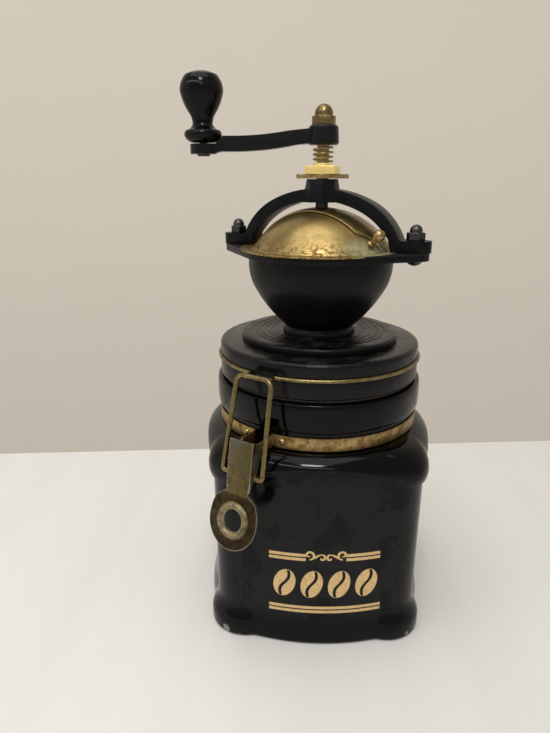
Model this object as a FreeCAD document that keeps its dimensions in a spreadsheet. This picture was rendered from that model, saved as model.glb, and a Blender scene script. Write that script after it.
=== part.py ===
import FreeCAD, Part
import Sketcher
import math
import os

# Hand-cranked coffee mill on the lid of a glazed canister with a lever and wire clasp.
# Millimetres, +Z up, the origin on the mill's axis at the table. The canister's label face looks
# along -Y. The clasp, the bridge and the door are drawn facing -Y or along X, and are then turned
# clockwise about the axis by their own angles.

V = FreeCAD.Vector
UP = V(0, 0, 1)

DIMENSIONS = [
    ("corner_centre", 39.0, "corner arc centres from the axis, along X and along Y"),
    ("corner_radius", 20.0, "foot corner radius"),
    ("face_reach", 63.0, "middle of each bowed face from the axis, at the foot"),
    ("bow_radius", 120.0, "radius of the bowed faces in plan"),
    ("hollow_radius", 10.0, "hollows between faces and corners in plan"),
    ("base_round", 2.0, "rounding under the foot"),
    ("foot_lip", 7.0, "height of the full foot"),
    ("foot_blend", 12.0, "height over which the foot draws in"),
    ("foot_flare", 3.9, "how far the foot stands out at the corners"),
    ("face_flare", 2.3, "how far the foot stands out at the faces"),
    ("corner_lean", 0.5, "how far the corners lean out up to the shoulder"),
    ("face_taper", 2.0, "how far the faces lean in up to the neck"),
    ("wall", 6.0, "glazed wall at the faces"),
    ("floor_thickness", 7.0, "canister floor"),
    ("inner_corner", 36.0, "inner corner radius"),
    ("shoulder_crease", 104.6, "overhanging shoulder edge at the middle of a face"),
    ("arch_drop", 11.0, "how much lower that edge is at the corners"),
    ("lip_corner", 1.2, "shoulder edge drawn in at the corners"),
    ("lip_rise", 1.3, "height of the edge's rounding"),
    ("shoulder_roll", 1.45, "roll of the shoulder over a face: 1 is an ellipse, more is flatter"),
    ("corner_roll", 0.65, "roll of the shoulder over a corner"),
    ("corner_swell", 1.8, "how far the shoulder swells over a corner"),
    ("shoulder_delay", 1.4, "how late the shoulder rises: 1 is an ellipse"),
    ("neck_base", 112.0, "height where the neck starts"),
    ("neck_radius", 55.0, "neck under the ring"),
    ("neck_length", 10.2, "neck below the ring, where the strap lies"),
    ("ring_height", 15.2, "rolled ring round the mouth"),
    ("ring_bulge", 2.1, "how far the ring stands out from the neck"),
    ("mouth_radius", 47.5, "bore of the mouth"),
    ("strap_lift", 0.6, "strap above the shoulder"),
    ("strap_width", 6.7, "strap height"),
    ("sheet_metal", 0.8, "thickness of strap and bracket metal"),
    ("strap_gap", 0.1, "play between strap and neck"),
    ("ear_spread", 4.9, "half the space between the strap's ears"),
    ("ear_round", 2.9, "ear radius round the lever pin"),
    ("pivot_reach", 65.0, "lever pin from the axis"),
    ("pin_radius", 1.25, "lever pin"),
    ("running_fit", 0.06, "radial play of anything that turns"),
    ("clasp_turn", 31.0, "clasp's place, clockwise from the label face"),
    ("rivet_angle", 11.5, "rivets from the clasp's middle, degrees"),
    ("rivet_radius", 0.9, "rivet shank"),
    ("lever_width", 14.0, "lever over its flanges"),
    ("lever_plate", 1.0, "lever metal"),
    ("lever_top_reach", 73.4, "lever's top edge from the axis"),
    ("lever_top_rise", 5.4, "lever's top edge above the pin"),
    ("lever_knee_out", 4.6, "lever's knee further out than its top edge"),
    ("lever_knee_drop", 20.3, "knee below the pin"),
    ("lever_tip_out", 8.5, "lever's tip further out than its knee"),
    ("lever_tip_drop", 48.2, "tip below the pin"),
    ("lever_waist", 0.8, "front plate drawn in on each side at the knee"),
    ("pad_radius", 14.1, "round thumb pad"),
    ("pad_corner", 11.8, "upper corners of the pad from its middle line"),
    ("pad_corner_rise", 10.1, "upper corners of the pad above its middle"),
    ("pad_hole", 5.6, "hole in the pad"),
    ("pad_ring", 9.6, "pressed ring round the hole"),
    ("pad_emboss", 1.3, "height of the pressed ring"),
    ("loop_pivot_back", 4.4, "loop's ends behind the lever's knee"),
    ("loop_pivot_drop", 12.7, "loop's ends below the pin"),
    ("loop_wire", 1.25, "loop wire radius"),
    ("loop_spread", 10.1, "half the distance between the loop's legs at its bar"),
    ("loop_foot_spread", 11.9, "half the distance between the legs at their lower ends"),
    ("loop_round", 4.2, "loop's upper corners"),
    ("loop_play", 0.35, "gap from the catch to the loop's bar"),
    ("loop_over", 1.1, "loop's bar above the catch"),
    ("gasket_gap", 0.3, "gap between gasket and ring"),
    ("gasket_thickness", 1.1, "rubber gasket"),
    ("gasket_width", 9.3, "gasket from inner to outer edge"),
    ("lid_radius", 55.0, "wooden lid"),
    ("lid_thickness", 18.6, "wooden lid"),
    ("lid_round", 2.2, "lid's top edge"),
    ("plug_depth", 6.0, "spigot below the lid"),
    ("plug_play", 3.5, "gap between spigot and mouth"),
    ("outlet_radius", 13.0, "outlet bore through the lid"),
    ("bail_height", 10.4, "bail groove above the lid's underside"),
    ("bail_wire_radius", 1.0, "bail wire"),
    ("bail_stand", 0.3, "wire centre outside the lid's side"),
    ("groove_radius", 1.15, "bail groove"),
    ("catch_reach", 4.4, "catch stands out from the bail ring"),
    ("catch_spread", 6.8, "half the catch's width"),
    ("hinge_reach", 62.5, "hinge pins from the axis"),
    ("hinge_height", 126.0, "hinge pins above the table"),
    ("hinge_spread", 6.5, "half the space between the hinge bracket's ears"),
    ("hinge_leg", 12.0, "half the distance between the bail's rear legs"),
    ("hinge_lug", 3.0, "bracket radius round the hinge pins"),
    ("disc_radius", 43.0, "turned disc"),
    ("disc_thickness", 4.0, "turned disc"),
    ("ring_groove", 0.5, "depth of the turned ring grooves"),
    ("spider_radius", 19.8, "lower bearing plate"),
    ("spider_thickness", 3.0, "lower bearing plate"),
    ("spider_hub", 5.4, "its hub"),
    ("spider_arm", 4.0, "its arms"),
    ("screw_circle", 16.6, "mill screws from the axis"),
    ("screw_radius", 1.25, "mill screw shank"),
    ("screw_head", 2.5, "mill screw head radius"),
    ("screw_head_height", 1.8, "mill screw head"),
    ("screw_length", 36.0, "mill screws under the head"),
    ("foot_radius", 20.0, "bowl's foot"),
    ("waist_radius", 18.7, "bowl just above its foot"),
    ("bowl_radius", 38.7, "bowl under its flange"),
    ("bowl_wall", 3.1, "cast wall of the bowl"),
    ("bowl_height", 44.1, "foot to the flange's top"),
    ("flange_thickness", 3.0, "bowl flange"),
    ("flange_radius", 42.0, "bowl flange"),
    ("bolt_reach", 50.7, "ear bolts from the axis"),
    ("ear_end", 7.3, "ear radius round the bolts"),
    ("bolt_radius", 2.45, "ear bolts"),
    ("bolt_head", 4.2, "round head radius of the ear bolts"),
    ("bolt_head_height", 2.8, "round head of the ear bolts"),
    ("burr_radius", 14.0, "fixed burr, outside"),
    ("burr_height", 11.4, "fixed burr"),
    ("burr_gap", 0.5, "least grinding gap"),
    ("cone_radius", 10.9, "cone burr at its foot"),
    ("cone_top_radius", 5.6, "cone burr at its top"),
    ("cone_height", 16.6, "cone burr"),
    ("tooth_depth", 1.1, "depth of the flutes"),
    ("shaft_radius", 3.3, "shaft in its bearings"),
    ("spindle_radius", 3.1, "shaft above the bridge"),
    ("square_side", 4.3, "square on the shaft for the crank"),
    ("thread_radius", 2.4, "threaded top of the shaft"),
    ("cover_thickness", 0.8, "brass flange"),
    ("cover_radius", 43.0, "brass flange"),
    ("dome_radius", 44.3, "sphere of the fixed dome"),
    ("dome_rise", 21.0, "dome above the brass flange"),
    ("dome_metal", 0.7, "dome sheet"),
    ("door_gap", 0.35, "gap between dome and door"),
    ("rim_height", 1.2, "low rim left below the opening"),
    ("shaft_hole", 3.9, "hole for the shaft in dome and door"),
    ("door_edge", 10.8, "front edge of the fixed dome from the axis"),
    ("door_turn", 34.6, "opening's place, clockwise from the label face"),
    ("knob_angle", 78.8, "door knob from the opening's middle, degrees"),
    ("knob_stem_reach", 33.8, "door knob stem from the axis"),
    ("knob_tilt", 44.0, "door knob axis above level, degrees"),
    ("stem_radius", 1.3, "door knob stem"),
    ("stem_length", 7.3, "door surface to the ball's middle"),
    ("ball_radius", 3.0, "door knob ball"),
    ("bridge_turn", 24.1, "bridge's place, clockwise from the X axis"),
    ("bridge_width", 11.5, "bridge across"),
    ("bridge_foot", 5.9, "foot thickness of the bridge"),
    ("bridge_inner_foot", 39.6, "inner end of the feet from the axis"),
    ("arch_height", 30.5, "arch's top above the brass flange"),
    ("arch_thickness", 6.0, "arch at its top"),
    ("crown_radius", 60.3, "outer arch radius over the middle"),
    ("crown_reach", 25.8, "where the crown meets the flanks"),
    ("flank_radius", 36.0, "outer arch radius at the flanks"),
    ("flank_reach", 43.8, "where the flanks meet the feet"),
    ("boss_height", 35.0, "boss top above the brass flange"),
    ("boss_length", 11.5, "boss"),
    ("boss_top", 7.5, "half width of the boss at its top"),
    ("boss_foot", 9.6, "half width of the boss at its foot"),
    ("bush_wall", 1.6, "bush in the boss"),
    ("ear_nut", 8.3, "ear nuts across flats"),
    ("ear_nut_height", 3.9, "hexagon of the ear nuts"),
    ("ear_nut_dome", 3.15, "dome radius of the ear nuts"),
    ("rest_gap", 0.3, "gap between pieces that turn past each other"),
    ("plate_thickness", 2.1, "locking plate"),
    ("plate_body", 8.2, "locking plate's round middle"),
    ("plate_reach", 10.2, "wing ends' centres"),
    ("plate_end", 3.4, "wing ends' radius"),
    ("nut_side", 16.4, "square adjusting nut"),
    ("nut_height", 4.0, "its square"),
    ("nut_turn", 10.0, "its turn as left by hand, degrees"),
    ("nut_collar", 4.8, "its collar radius"),
    ("nut_collar_height", 1.4, "its collar"),
    ("spring_wire", 0.5, "spring wire radius"),
    ("spring_mean", 4.85, "spring coil radius"),
    ("spring_turns", 3.25, "spring turns"),
    ("spring_length", 8.7, "space from collar to hub"),
    ("hub_radius", 8.0, "crank hub"),
    ("hub_height", 9.4, "crank hub"),
    ("hub_chamfer", 0.9, "hub edges"),
    ("crank_reach", 61.5, "knob pin from the shaft"),
    ("arm_width", 7.8, "crank arm across"),
    ("arm_depth", 7.4, "crank arm, top to bottom"),
    ("seat_radius", 6.8, "knob seat"),
    ("seat_drop", 4.2, "seat's underside below the hub's underside"),
    ("seat_thickness", 4.8, "knob seat"),
    ("top_nut", 10.4, "crank nut across flats"),
    ("top_nut_height", 4.2, "hexagon of the crank nut"),
    ("top_nut_dome", 4.6, "dome radius of the crank nut"),
    ("grip_pin", 2.0, "knob pin radius"),
    ("grip_gap", 0.5, "knob above its seat"),
    ("grip_height", 33.6, "knob"),
    ("grip_radius", 10.95, "knob at its bulb"),
    ("grip_waist", 5.1, "knob at its waist"),
    ("grip_collar", 9.65, "collar at the knob's foot"),
]


class Size:
    """A number together with the sheet expression that it comes from."""

    def __init__(self, number, text):
        self.number = float(number)
        self.text = text

    def __float__(self):
        return self.number

    def combined(self, first, sign, second, number):
        return Size(number, "(%s %s %s)" % (text_of(first), sign, text_of(second)))

    def __add__(self, other):
        return self.combined(self, "+", other, self.number + float(other))

    def __radd__(self, other):
        return self.combined(other, "+", self, float(other) + self.number)

    def __sub__(self, other):
        return self.combined(self, "-", other, self.number - float(other))

    def __rsub__(self, other):
        return self.combined(other, "-", self, float(other) - self.number)

    def __mul__(self, other):
        return self.combined(self, "*", other, self.number * float(other))

    def __rmul__(self, other):
        return self.combined(other, "*", self, float(other) * self.number)

    def __truediv__(self, other):
        return self.combined(self, "/", other, self.number / float(other))

    def __neg__(self):
        return Size(-self.number, "(0 - %s)" % self.text)


def text_of(value):
    """Expression text of a Size or of a plain number."""
    if isinstance(value, Size):
        return value.text
    return "%.6g" % float(value)


def root(value):
    """Square root of a Size."""
    return Size(math.sqrt(float(value)), "sqrt(%s)" % value.text)


class Sheet:
    """A spreadsheet whose aliases are also attributes that hold Sizes."""

    def __init__(self, name):
        self.name = name
        self.table = doc.addObject("Spreadsheet::Sheet", name)
        self.row = 0

    def write(self, alias, content, number, note=""):
        self.row += 1
        self.table.set("A%d" % self.row, alias)
        self.table.set("B%d" % self.row, content)
        self.table.setAlias("B%d" % self.row, alias)
        self.table.set("C%d" % self.row, note)
        size = Size(number, "%s.%s" % (self.name, alias))
        setattr(self, alias, size)
        return size


doc = FreeCAD.newDocument("Mill")
D = Sheet("Dims")
for dimension_name, dimension_value, dimension_note in DIMENSIONS:
    D.write(dimension_name, str(dimension_value), dimension_value, dimension_note)
LEVELS = Sheet("Levels")


def level(alias, size):
    """Keep a worked-out size under a name of its own in the second sheet."""
    return LEVELS.write(alias, "=" + size.text, size.number)


# Heights above the table, each from the one below it.
strap_bottom = level("strap_bottom", D.neck_base + D.strap_lift)
strap_top = level("strap_top", strap_bottom + D.strap_width)
ring_bottom = level("ring_bottom", D.neck_base + D.neck_length)
ring_top = level("ring_top", ring_bottom + D.ring_height)
lid_bottom = level("lid_bottom", ring_top + D.gasket_gap + D.gasket_thickness)
lid_top = level("lid_top", lid_bottom + D.lid_thickness)
bail_level = level("bail_level", lid_bottom + D.bail_height)
plug_bottom = level("plug_bottom", lid_bottom - D.plug_depth)
mill_foot = level("mill_foot", lid_top + D.disc_thickness)
spider_bottom = level("spider_bottom", mill_foot - D.spider_thickness)
bowl_top = level("bowl_top", mill_foot + D.bowl_height)
cover_top = level("cover_top", bowl_top + D.cover_thickness)
dome_centre = level("dome_centre", cover_top + D.dome_rise - D.dome_radius)
foot_top = level("foot_top", cover_top + D.bridge_foot)
boss_top = level("boss_top", cover_top + D.boss_height)
boss_bottom = level("boss_bottom", boss_top - D.boss_length)
plate_bottom = level("plate_bottom", boss_top + D.rest_gap)
nut_bottom = level("nut_bottom", plate_bottom + D.plate_thickness)
collar_bottom = level("collar_bottom", nut_bottom + D.nut_height)
collar_top = level("collar_top", collar_bottom + D.nut_collar_height)
hub_bottom = level("hub_bottom", collar_top + D.spring_length)
hub_top = level("hub_top", hub_bottom + D.hub_height)
seat_bottom = level("seat_bottom", hub_bottom - D.seat_drop)
seat_top = level("seat_top", seat_bottom + D.seat_thickness)
grip_bottom = level("grip_bottom", seat_top + D.grip_gap)

# Radii and places that several pieces share.
strap_inner = level("strap_inner", D.neck_radius + D.strap_gap)
strap_outer = level("strap_outer", strap_inner + D.sheet_metal)
knee_reach = level("knee_reach", D.lever_top_reach + D.lever_knee_out)
tip_reach = level("tip_reach", knee_reach + D.lever_tip_out)
loop_reach = level("loop_reach", knee_reach - D.loop_pivot_back)
pin_level = level("pin_level", strap_bottom + D.ear_round)
bearing_bore = level("bearing_bore", D.shaft_radius + D.running_fit)
spindle_bore = level("spindle_bore", D.spindle_radius + D.running_fit)
bush_outer = level("bush_outer", bearing_bore + D.bush_wall)
bail_ring = level("bail_ring", D.lid_radius + D.bail_stand)
catch_bar = level("catch_bar", bail_ring + D.catch_reach)
plug_radius = level("plug_radius", D.mouth_radius - D.plug_play)
gasket_inner = level("gasket_inner", plug_radius + 0.2)
gasket_outer = level("gasket_outer", gasket_inner + D.gasket_width)
bolt_hole = level("bolt_hole", D.bolt_radius + 0.15)
screw_hole = level("screw_hole", D.screw_radius + 0.05)
foot_end = level("foot_end", D.bolt_reach + D.ear_end + 0.8)
doc.recompute()


# Drawing helpers

def body(name):
    """An empty PartDesign body."""
    made = doc.addObject("PartDesign::Body", name)
    made.Label = name
    return made


def sketch(owner, plane, lift=None):
    """An empty sketch on one of the body's origin planes, lifted along the plane's normal."""
    made = owner.newObject("Sketcher::SketchObject", owner.Name + "_sketch")
    for datum in owner.Origin.OriginFeatures:
        if datum.Role == plane + "_Plane":
            made.AttachmentSupport = [(datum, "")]
    made.MapMode = "FlatFace"
    if lift is not None:
        made.setExpression("AttachmentOffset.Base.z", text_of(lift))
    return made


def pin_point(drawing, edge, end, x, y):
    """Hold one end of an edge at named coordinates."""
    for kind, axis, value in (("DistanceX", -2, x), ("DistanceY", -1, y)):
        if not isinstance(value, Size) and value == 0:
            drawing.addConstraint(Sketcher.Constraint("PointOnObject", edge, end, axis))
            continue
        index = drawing.addConstraint(Sketcher.Constraint(kind, -1, 1, edge, end, float(value)))
        drawing.setExpression("Constraints[%d]" % index, text_of(value))


def outline(drawing, corners):
    """Closed outline through corners (x, y) or (x, y, radius).

    A radius makes the edge that arrives at its corner an arc of that radius: it bulges to the
    left of the way walked where the radius is positive, and to the right where it is negative.
    """
    edges = []
    for index, corner in enumerate(corners):
        before = corners[index - 1]
        start = V(float(before[0]), float(before[1]), 0)
        stop = V(float(corner[0]), float(corner[1]), 0)
        if len(corner) == 2:
            edges.append((drawing.addGeometry(Part.LineSegment(start, stop), False), 1, 2))
            continue
        radius = abs(float(corner[2]))
        side = 1 if float(corner[2]) > 0 else -1
        along = (stop - start).normalize()
        left = V(-along.y, along.x, 0)
        half = (stop - start).Length / 2
        centre = (start + stop) * 0.5 - left * (side * math.sqrt(radius * radius - half * half))
        from_stop = math.atan2(stop.y - centre.y, stop.x - centre.x)
        from_start = math.atan2(start.y - centre.y, start.x - centre.x)
        circle = Part.Circle(centre, UP, radius)
        if side > 0:
            arc = Part.ArcOfCircle(circle, from_stop, from_start)
            ends = (2, 1)
        else:
            arc = Part.ArcOfCircle(circle, from_start, from_stop)
            ends = (1, 2)
        edge = drawing.addGeometry(arc, False)
        bound = drawing.addConstraint(Sketcher.Constraint("Radius", edge, radius))
        value = corner[2] if side > 0 else -corner[2]
        drawing.setExpression("Constraints[%d]" % bound, text_of(value))
        edges.append((edge,) + ends)
    for index, corner in enumerate(corners):
        edge, start_end, stop_end = edges[index]
        following = edges[(index + 1) % len(edges)]
        drawing.addConstraint(Sketcher.Constraint("Coincident", edge, stop_end, following[0], following[1]))
        pin_point(drawing, edge, stop_end, corner[0], corner[1])


def circle(drawing, radius, x=0, y=0):
    """A circle at named coordinates."""
    made = drawing.addGeometry(Part.Circle(V(float(x), float(y), 0), UP, float(radius)), False)
    bound = drawing.addConstraint(Sketcher.Constraint("Radius", made, float(radius)))
    drawing.setExpression("Constraints[%d]" % bound, text_of(radius))
    pin_point(drawing, made, 3, x, y)


def revolve(owner, corners):
    """Turn an outline in the XZ plane once round the Z axis."""
    drawing = sketch(owner, "XZ")
    outline(drawing, corners)
    turned = owner.newObject("PartDesign::Revolution", owner.Name + "_turning")
    turned.Profile = drawing
    turned.ReferenceAxis = (drawing, ["V_Axis"])
    turned.Angle = 360
    return turned


def pad(owner, drawing, depth, symmetric=False):
    """Thicken a sketch along its normal, or to both sides."""
    made = owner.newObject("PartDesign::Pad", owner.Name + "_pad")
    made.Profile = drawing
    made.setExpression("Length", text_of(depth))
    if symmetric:
        made.SideType = "Symmetric"
    return made


def drill(owner, drawing):
    """Cut a sketch's shapes right through the body, to both sides of the sketch."""
    made = owner.newObject("PartDesign::Pocket", owner.Name + "_holes")
    made.Profile = drawing
    made.SideType = "Symmetric"
    made.Type = "ThroughAll"
    return made


def turned_body(name, corners):
    """A body of revolution about the Z axis."""
    made = body(name)
    revolve(made, corners)
    return made


def slab(name, plane, corners, depth, lift=None, symmetric=False, holes=()):
    """A flat piece: an outline thickened, with round holes (x, y, radius)."""
    made = body(name)
    drawing = sketch(made, plane, lift)
    outline(drawing, corners)
    pad(made, drawing, depth, symmetric)
    if holes:
        drilled = sketch(made, plane)
        for x, y, radius in holes:
            circle(drilled, radius, x, y)
        drill(made, drilled)
    return made


def bind(target, **sizes):
    """Set properties from sizes, by expression where they have one."""
    for name, value in sizes.items():
        if isinstance(value, Size):
            target.setExpression(name, value.text)
        setattr(target, name, float(value))


def place(target, x=0, y=0, z=0):
    """Move a piece to a named place, keeping its rotation."""
    target.Placement.Base = V(float(x), float(y), float(z))
    for axis, value in zip("xyz", (x, y, z)):
        if isinstance(value, Size):
            target.setExpression("Placement.Base." + axis, value.text)


def cylinder(name, radius, height, x=0, y=0, z=0, along_x=False):
    """A cylinder that stands on its place, or lies along X from it."""
    made = doc.addObject("Part::Cylinder", name)
    bind(made, Radius=radius, Height=height)
    if along_x:
        made.Placement.Rotation = FreeCAD.Rotation(V(0, 1, 0), 90)
    place(made, x, y, z)
    return made


def block(name, low, size):
    """A box from its lowest corner."""
    made = doc.addObject("Part::Box", name)
    bind(made, Length=size[0], Width=size[1], Height=size[2])
    place(made, *low)
    return made


def prism(name, across_flats, height, z):
    """An upright hexagonal prism by its width across flats."""
    made = doc.addObject("Part::Prism", name)
    made.Polygon = 6
    bind(made, Circumradius=across_flats / math.sqrt(3), Height=height)
    place(made, 0, 0, z)
    return made


def sphere(name, radius, x=0, y=0, z=0):
    """A ball."""
    made = doc.addObject("Part::Sphere", name)
    bind(made, Radius=radius)
    place(made, x, y, z)
    return made


def fuse(name, *pieces):
    """One solid from several that overlap."""
    made = doc.addObject("Part::MultiFuse", name)
    made.Shapes = list(pieces)
    made.Label = name
    return made


def common(name, *pieces):
    """What several solids share."""
    made = doc.addObject("Part::MultiCommon", name)
    made.Shapes = list(pieces)
    made.Label = name
    return made


def cut(name, base, *tools):
    """A solid less its tools."""
    made = doc.addObject("Part::Cut", name)
    made.Base = base
    made.Tool = tools[0] if len(tools) == 1 else fuse(name + "_tools", *tools)
    made.Label = name
    return made


def group(name, pieces):
    """Separate solids of one kind under one name."""
    made = doc.addObject("Part::Compound", name)
    made.Links = list(pieces)
    made.Label = name
    return made


def feature(name, shape):
    """A piece whose shape is worked out here."""
    made = doc.addObject("Part::Feature", name)
    made.Shape = shape
    made.Label = name
    return made


def turn(target, degrees):
    """Turn a piece clockwise, seen from above, about the Z axis."""
    target.Placement = FreeCAD.Placement(V(0, 0, 0), FreeCAD.Rotation(V(0, 0, -1), float(degrees)))
    if isinstance(degrees, Size):
        target.setExpression("Placement.Rotation.Angle", degrees.text)
    return target


def rounded_path(points, radii):
    """Straight runs through points with an arc at each inner point: a list of edges."""
    edges = []
    start = points[0]
    for before, here, after, radius in zip(points, points[1:], points[2:], radii):
        back = (before - here).normalize()
        ahead = (after - here).normalize()
        half_turn = (math.pi - back.getAngle(ahead)) / 2
        reach = radius * math.tan(half_turn)
        enter = here + back * reach
        leave = here + ahead * reach
        inward = (back + ahead).normalize()
        middle = here + inward * (radius / math.cos(half_turn) - radius)
        edges.append(Part.LineSegment(start, enter).toShape())
        edges.append(Part.Arc(enter, middle, leave).toShape())
        start = leave
    edges.append(Part.LineSegment(start, points[-1]).toShape())
    return edges


def tube(edges, radius):
    """A round wire along tangent edges."""
    spine = Part.Wire(edges)
    first = spine.Edges[0]
    start = first.valueAt(first.FirstParameter)
    heading = first.tangentAt(first.FirstParameter)
    section = Part.Wire([Part.Circle(start, heading, radius).toShape()])
    return spine.makePipeShell([section], True, False)


def eye_outline(middle, reach, end):
    """Round plate with two tapered ears along X, as corners for an outline."""
    slope = (middle - end) / reach
    rise = root(1 - slope * slope)
    near_x = middle * slope
    near_y = middle * rise
    far_x = reach + end * slope
    far_y = end * rise
    return [
        (far_x, -far_y), (far_x, far_y, -end), (near_x, near_y), (-near_x, near_y, -middle),
        (-far_x, far_y), (-far_x, -far_y, -end), (-near_x, -near_y), (near_x, -near_y, -middle)]


def square_outline(half):
    """A square about the origin."""
    return [(half, -half), (half, half), (-half, half), (-half, -half)]


def cap_nut(name, across_flats, hexagon, dome, bore, bore_depth, z):
    """Hexagonal nut with a domed cap over a blind bore."""
    neck = hexagon + 0.25 * dome
    solid = fuse(
        name + "_solid", prism(name + "_hexagon", across_flats, hexagon, z),
        cylinder(name + "_neck", dome, neck, 0, 0, z), sphere(name + "_dome", dome, 0, 0, z + neck))
    return cut(name, solid, cylinder(name + "_bore", bore, bore_depth, 0, 0, z))


# Canister

FLANK_SHARES = (0.03, 0.052, 0.073, 0.094, 0.115, 0.136, 0.157, 0.178, 0.24)
ARCH_START = 0.75
LEDGE_STEP = 0.3
RING_POINTS = 128
SHOULDER_STEPS = 8


def polar(angle):
    """Angle in radians from the nearest face's middle, and the unit vector of the angle."""
    quarter = math.pi / 2
    return abs((angle + quarter / 2) % quarter - quarter / 2), V(math.cos(angle), math.sin(angle), 0)


def plan_radius(folded, corner_inset, face_inset):
    """Reach of the scalloped square, drawn in by two insets, at an angle from a face's middle."""
    corner = float(D.corner_radius) - corner_inset
    bow = float(D.bow_radius) - corner_inset
    hollow = float(D.hollow_radius)
    bow_point = V(float(D.face_reach) - face_inset - bow, 0, 0)
    corner_point = V(float(D.corner_centre), float(D.corner_centre), 0)
    across = corner_point - bow_point
    reach = across.Length
    along = (reach ** 2 + (bow + hollow) ** 2 - (corner + hollow) ** 2) / (2 * reach)
    aside = math.sqrt((bow + hollow) ** 2 - along ** 2)
    unit = V(across.x / reach, across.y / reach, 0)
    hollow_point = bow_point + unit * along + V(unit.y, -unit.x, 0) * aside
    bow_end = bow_point + (hollow_point - bow_point) * (bow / (bow + hollow))
    corner_end = corner_point + (hollow_point - corner_point) * (corner / (corner + hollow))
    heading = V(math.cos(folded), math.sin(folded), 0)
    if folded < math.atan2(bow_end.y, bow_end.x):
        centre, radius, side = bow_point, bow, 1
    elif folded < math.atan2(corner_end.y, corner_end.x):
        centre, radius, side = hollow_point, hollow, -1
    else:
        centre, radius, side = corner_point, corner, 1
    middle = heading.dot(centre)
    return middle + side * math.sqrt(max(middle ** 2 - centre.dot(centre) + radius ** 2, 0))


def eased(height, start, length):
    """Share of the way through a range of heights, slow at both ends."""
    share = min(max((height - float(start)) / float(length), 0), 1)
    return share * share * (3 - 2 * share)


def body_insets(height):
    """How far corners and faces are drawn in at a height on the canister's body."""
    foot = eased(height, D.foot_lip, D.foot_blend)
    foot_end = D.foot_lip + D.foot_blend
    lean = eased(height, foot_end, D.shoulder_crease - foot_end)
    corner = float(D.foot_flare) * foot - float(D.corner_lean) * lean
    return corner, float(D.face_flare) * foot + float(D.face_taper) * height / float(D.neck_base)


def crease_height(folded):
    """Height of the arched shoulder edge at an angle from a face's middle."""
    return float(D.shoulder_crease) - float(D.arch_drop) * math.sin(2 * folded) ** 3


def flank_ring(share):
    """Radius and height on the flank, from the base rounding (0) up to the arched edge (1)."""
    def at(folded):
        low = float(D.base_round)
        height = low + (crease_height(folded) + LEDGE_STEP - low) * share
        if share < ARCH_START:
            plain = low + (float(D.shoulder_crease - D.arch_drop) - low) * share
            height = plain + (height - plain) * (share / ARCH_START) ** 3
        return plan_radius(folded, *body_insets(height)), height
    return at


def base_ring(share):
    """Radius and height on the rounding under the foot."""
    def at(folded):
        corner_inset, face_inset = body_insets(0)
        inset = float(D.base_round) * (1 - math.sin(share * math.pi / 2))
        height = float(D.base_round) * (1 - math.cos(share * math.pi / 2))
        if share == 1:
            corner_inset, face_inset = body_insets(height)
        return plan_radius(folded, corner_inset + inset, face_inset + inset), height
    return at


def lip_ring(inset, rise):
    """Radius and height on the lip: drawn in from its outer edge, above the arched edge."""
    def at(folded):
        return plan_radius(folded, float(D.lip_corner) + inset, inset), crease_height(folded) + rise
    return at


def shoulder_ring(share):
    """Radius and height on the rolled shoulder, from the lip (0) to the neck (1)."""
    def at(folded):
        start, low = lip_ring(0, float(D.lip_rise))(folded)
        neck = float(D.neck_radius) - 1
        turn_angle = share * math.pi / 2
        corner = math.sin(2 * folded) ** 2
        roll = float(D.shoulder_roll) + float(D.corner_roll - D.shoulder_roll) * corner
        radius = neck + (start - neck) * math.cos(turn_angle) ** roll
        radius += float(D.corner_swell) * corner * math.sin(2 * turn_angle)
        return radius, low + (float(D.neck_base) - low) * math.sin(turn_angle) ** float(D.shoulder_delay)
    return at


def ring_wire(at):
    """A closed smooth curve round the axis through radii and heights worked out by angle."""
    points = []
    for index in range(RING_POINTS):
        folded, heading = polar(2 * math.pi * index / RING_POINTS)
        radius, height = at(folded)
        points.append(heading * radius + V(0, 0, height))
    curve = Part.BSplineCurve()
    stations = [float(index) for index in range(RING_POINTS + 1)]
    curve.interpolate(Points=points, PeriodicFlag=True, Parameters=stations)
    return Part.Wire([curve.toShape()])


def skin(rings, ruled):
    """Faces through rings."""
    return Part.makeLoft([ring_wire(at) for at in rings], False, ruled).Faces


def ring_face(corners):
    """Revolve a face in the XZ plane, given as (radius, height) or (radius, height, arc radius)."""
    edges = []
    for index, corner in enumerate(corners):
        before = corners[index - 1]
        start = V(float(before[0]), 0, float(before[1]))
        stop = V(float(corner[0]), 0, float(corner[1]))
        if len(corner) == 2:
            edges.append(Part.LineSegment(start, stop).toShape())
            continue
        radius = abs(float(corner[2]))
        side = 1 if float(corner[2]) > 0 else -1
        along = (stop - start).normalize()
        left = V(-along.z, 0, along.x)
        half = (stop - start).Length / 2
        sagitta = radius - math.sqrt(radius * radius - half * half)
        middle = (start + stop) * 0.5 + left * (side * sagitta)
        edges.append(Part.Arc(start, middle, stop).toShape())
    return Part.Face(Part.Wire(edges)).revolve(V(0, 0, 0), UP, 360)


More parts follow.
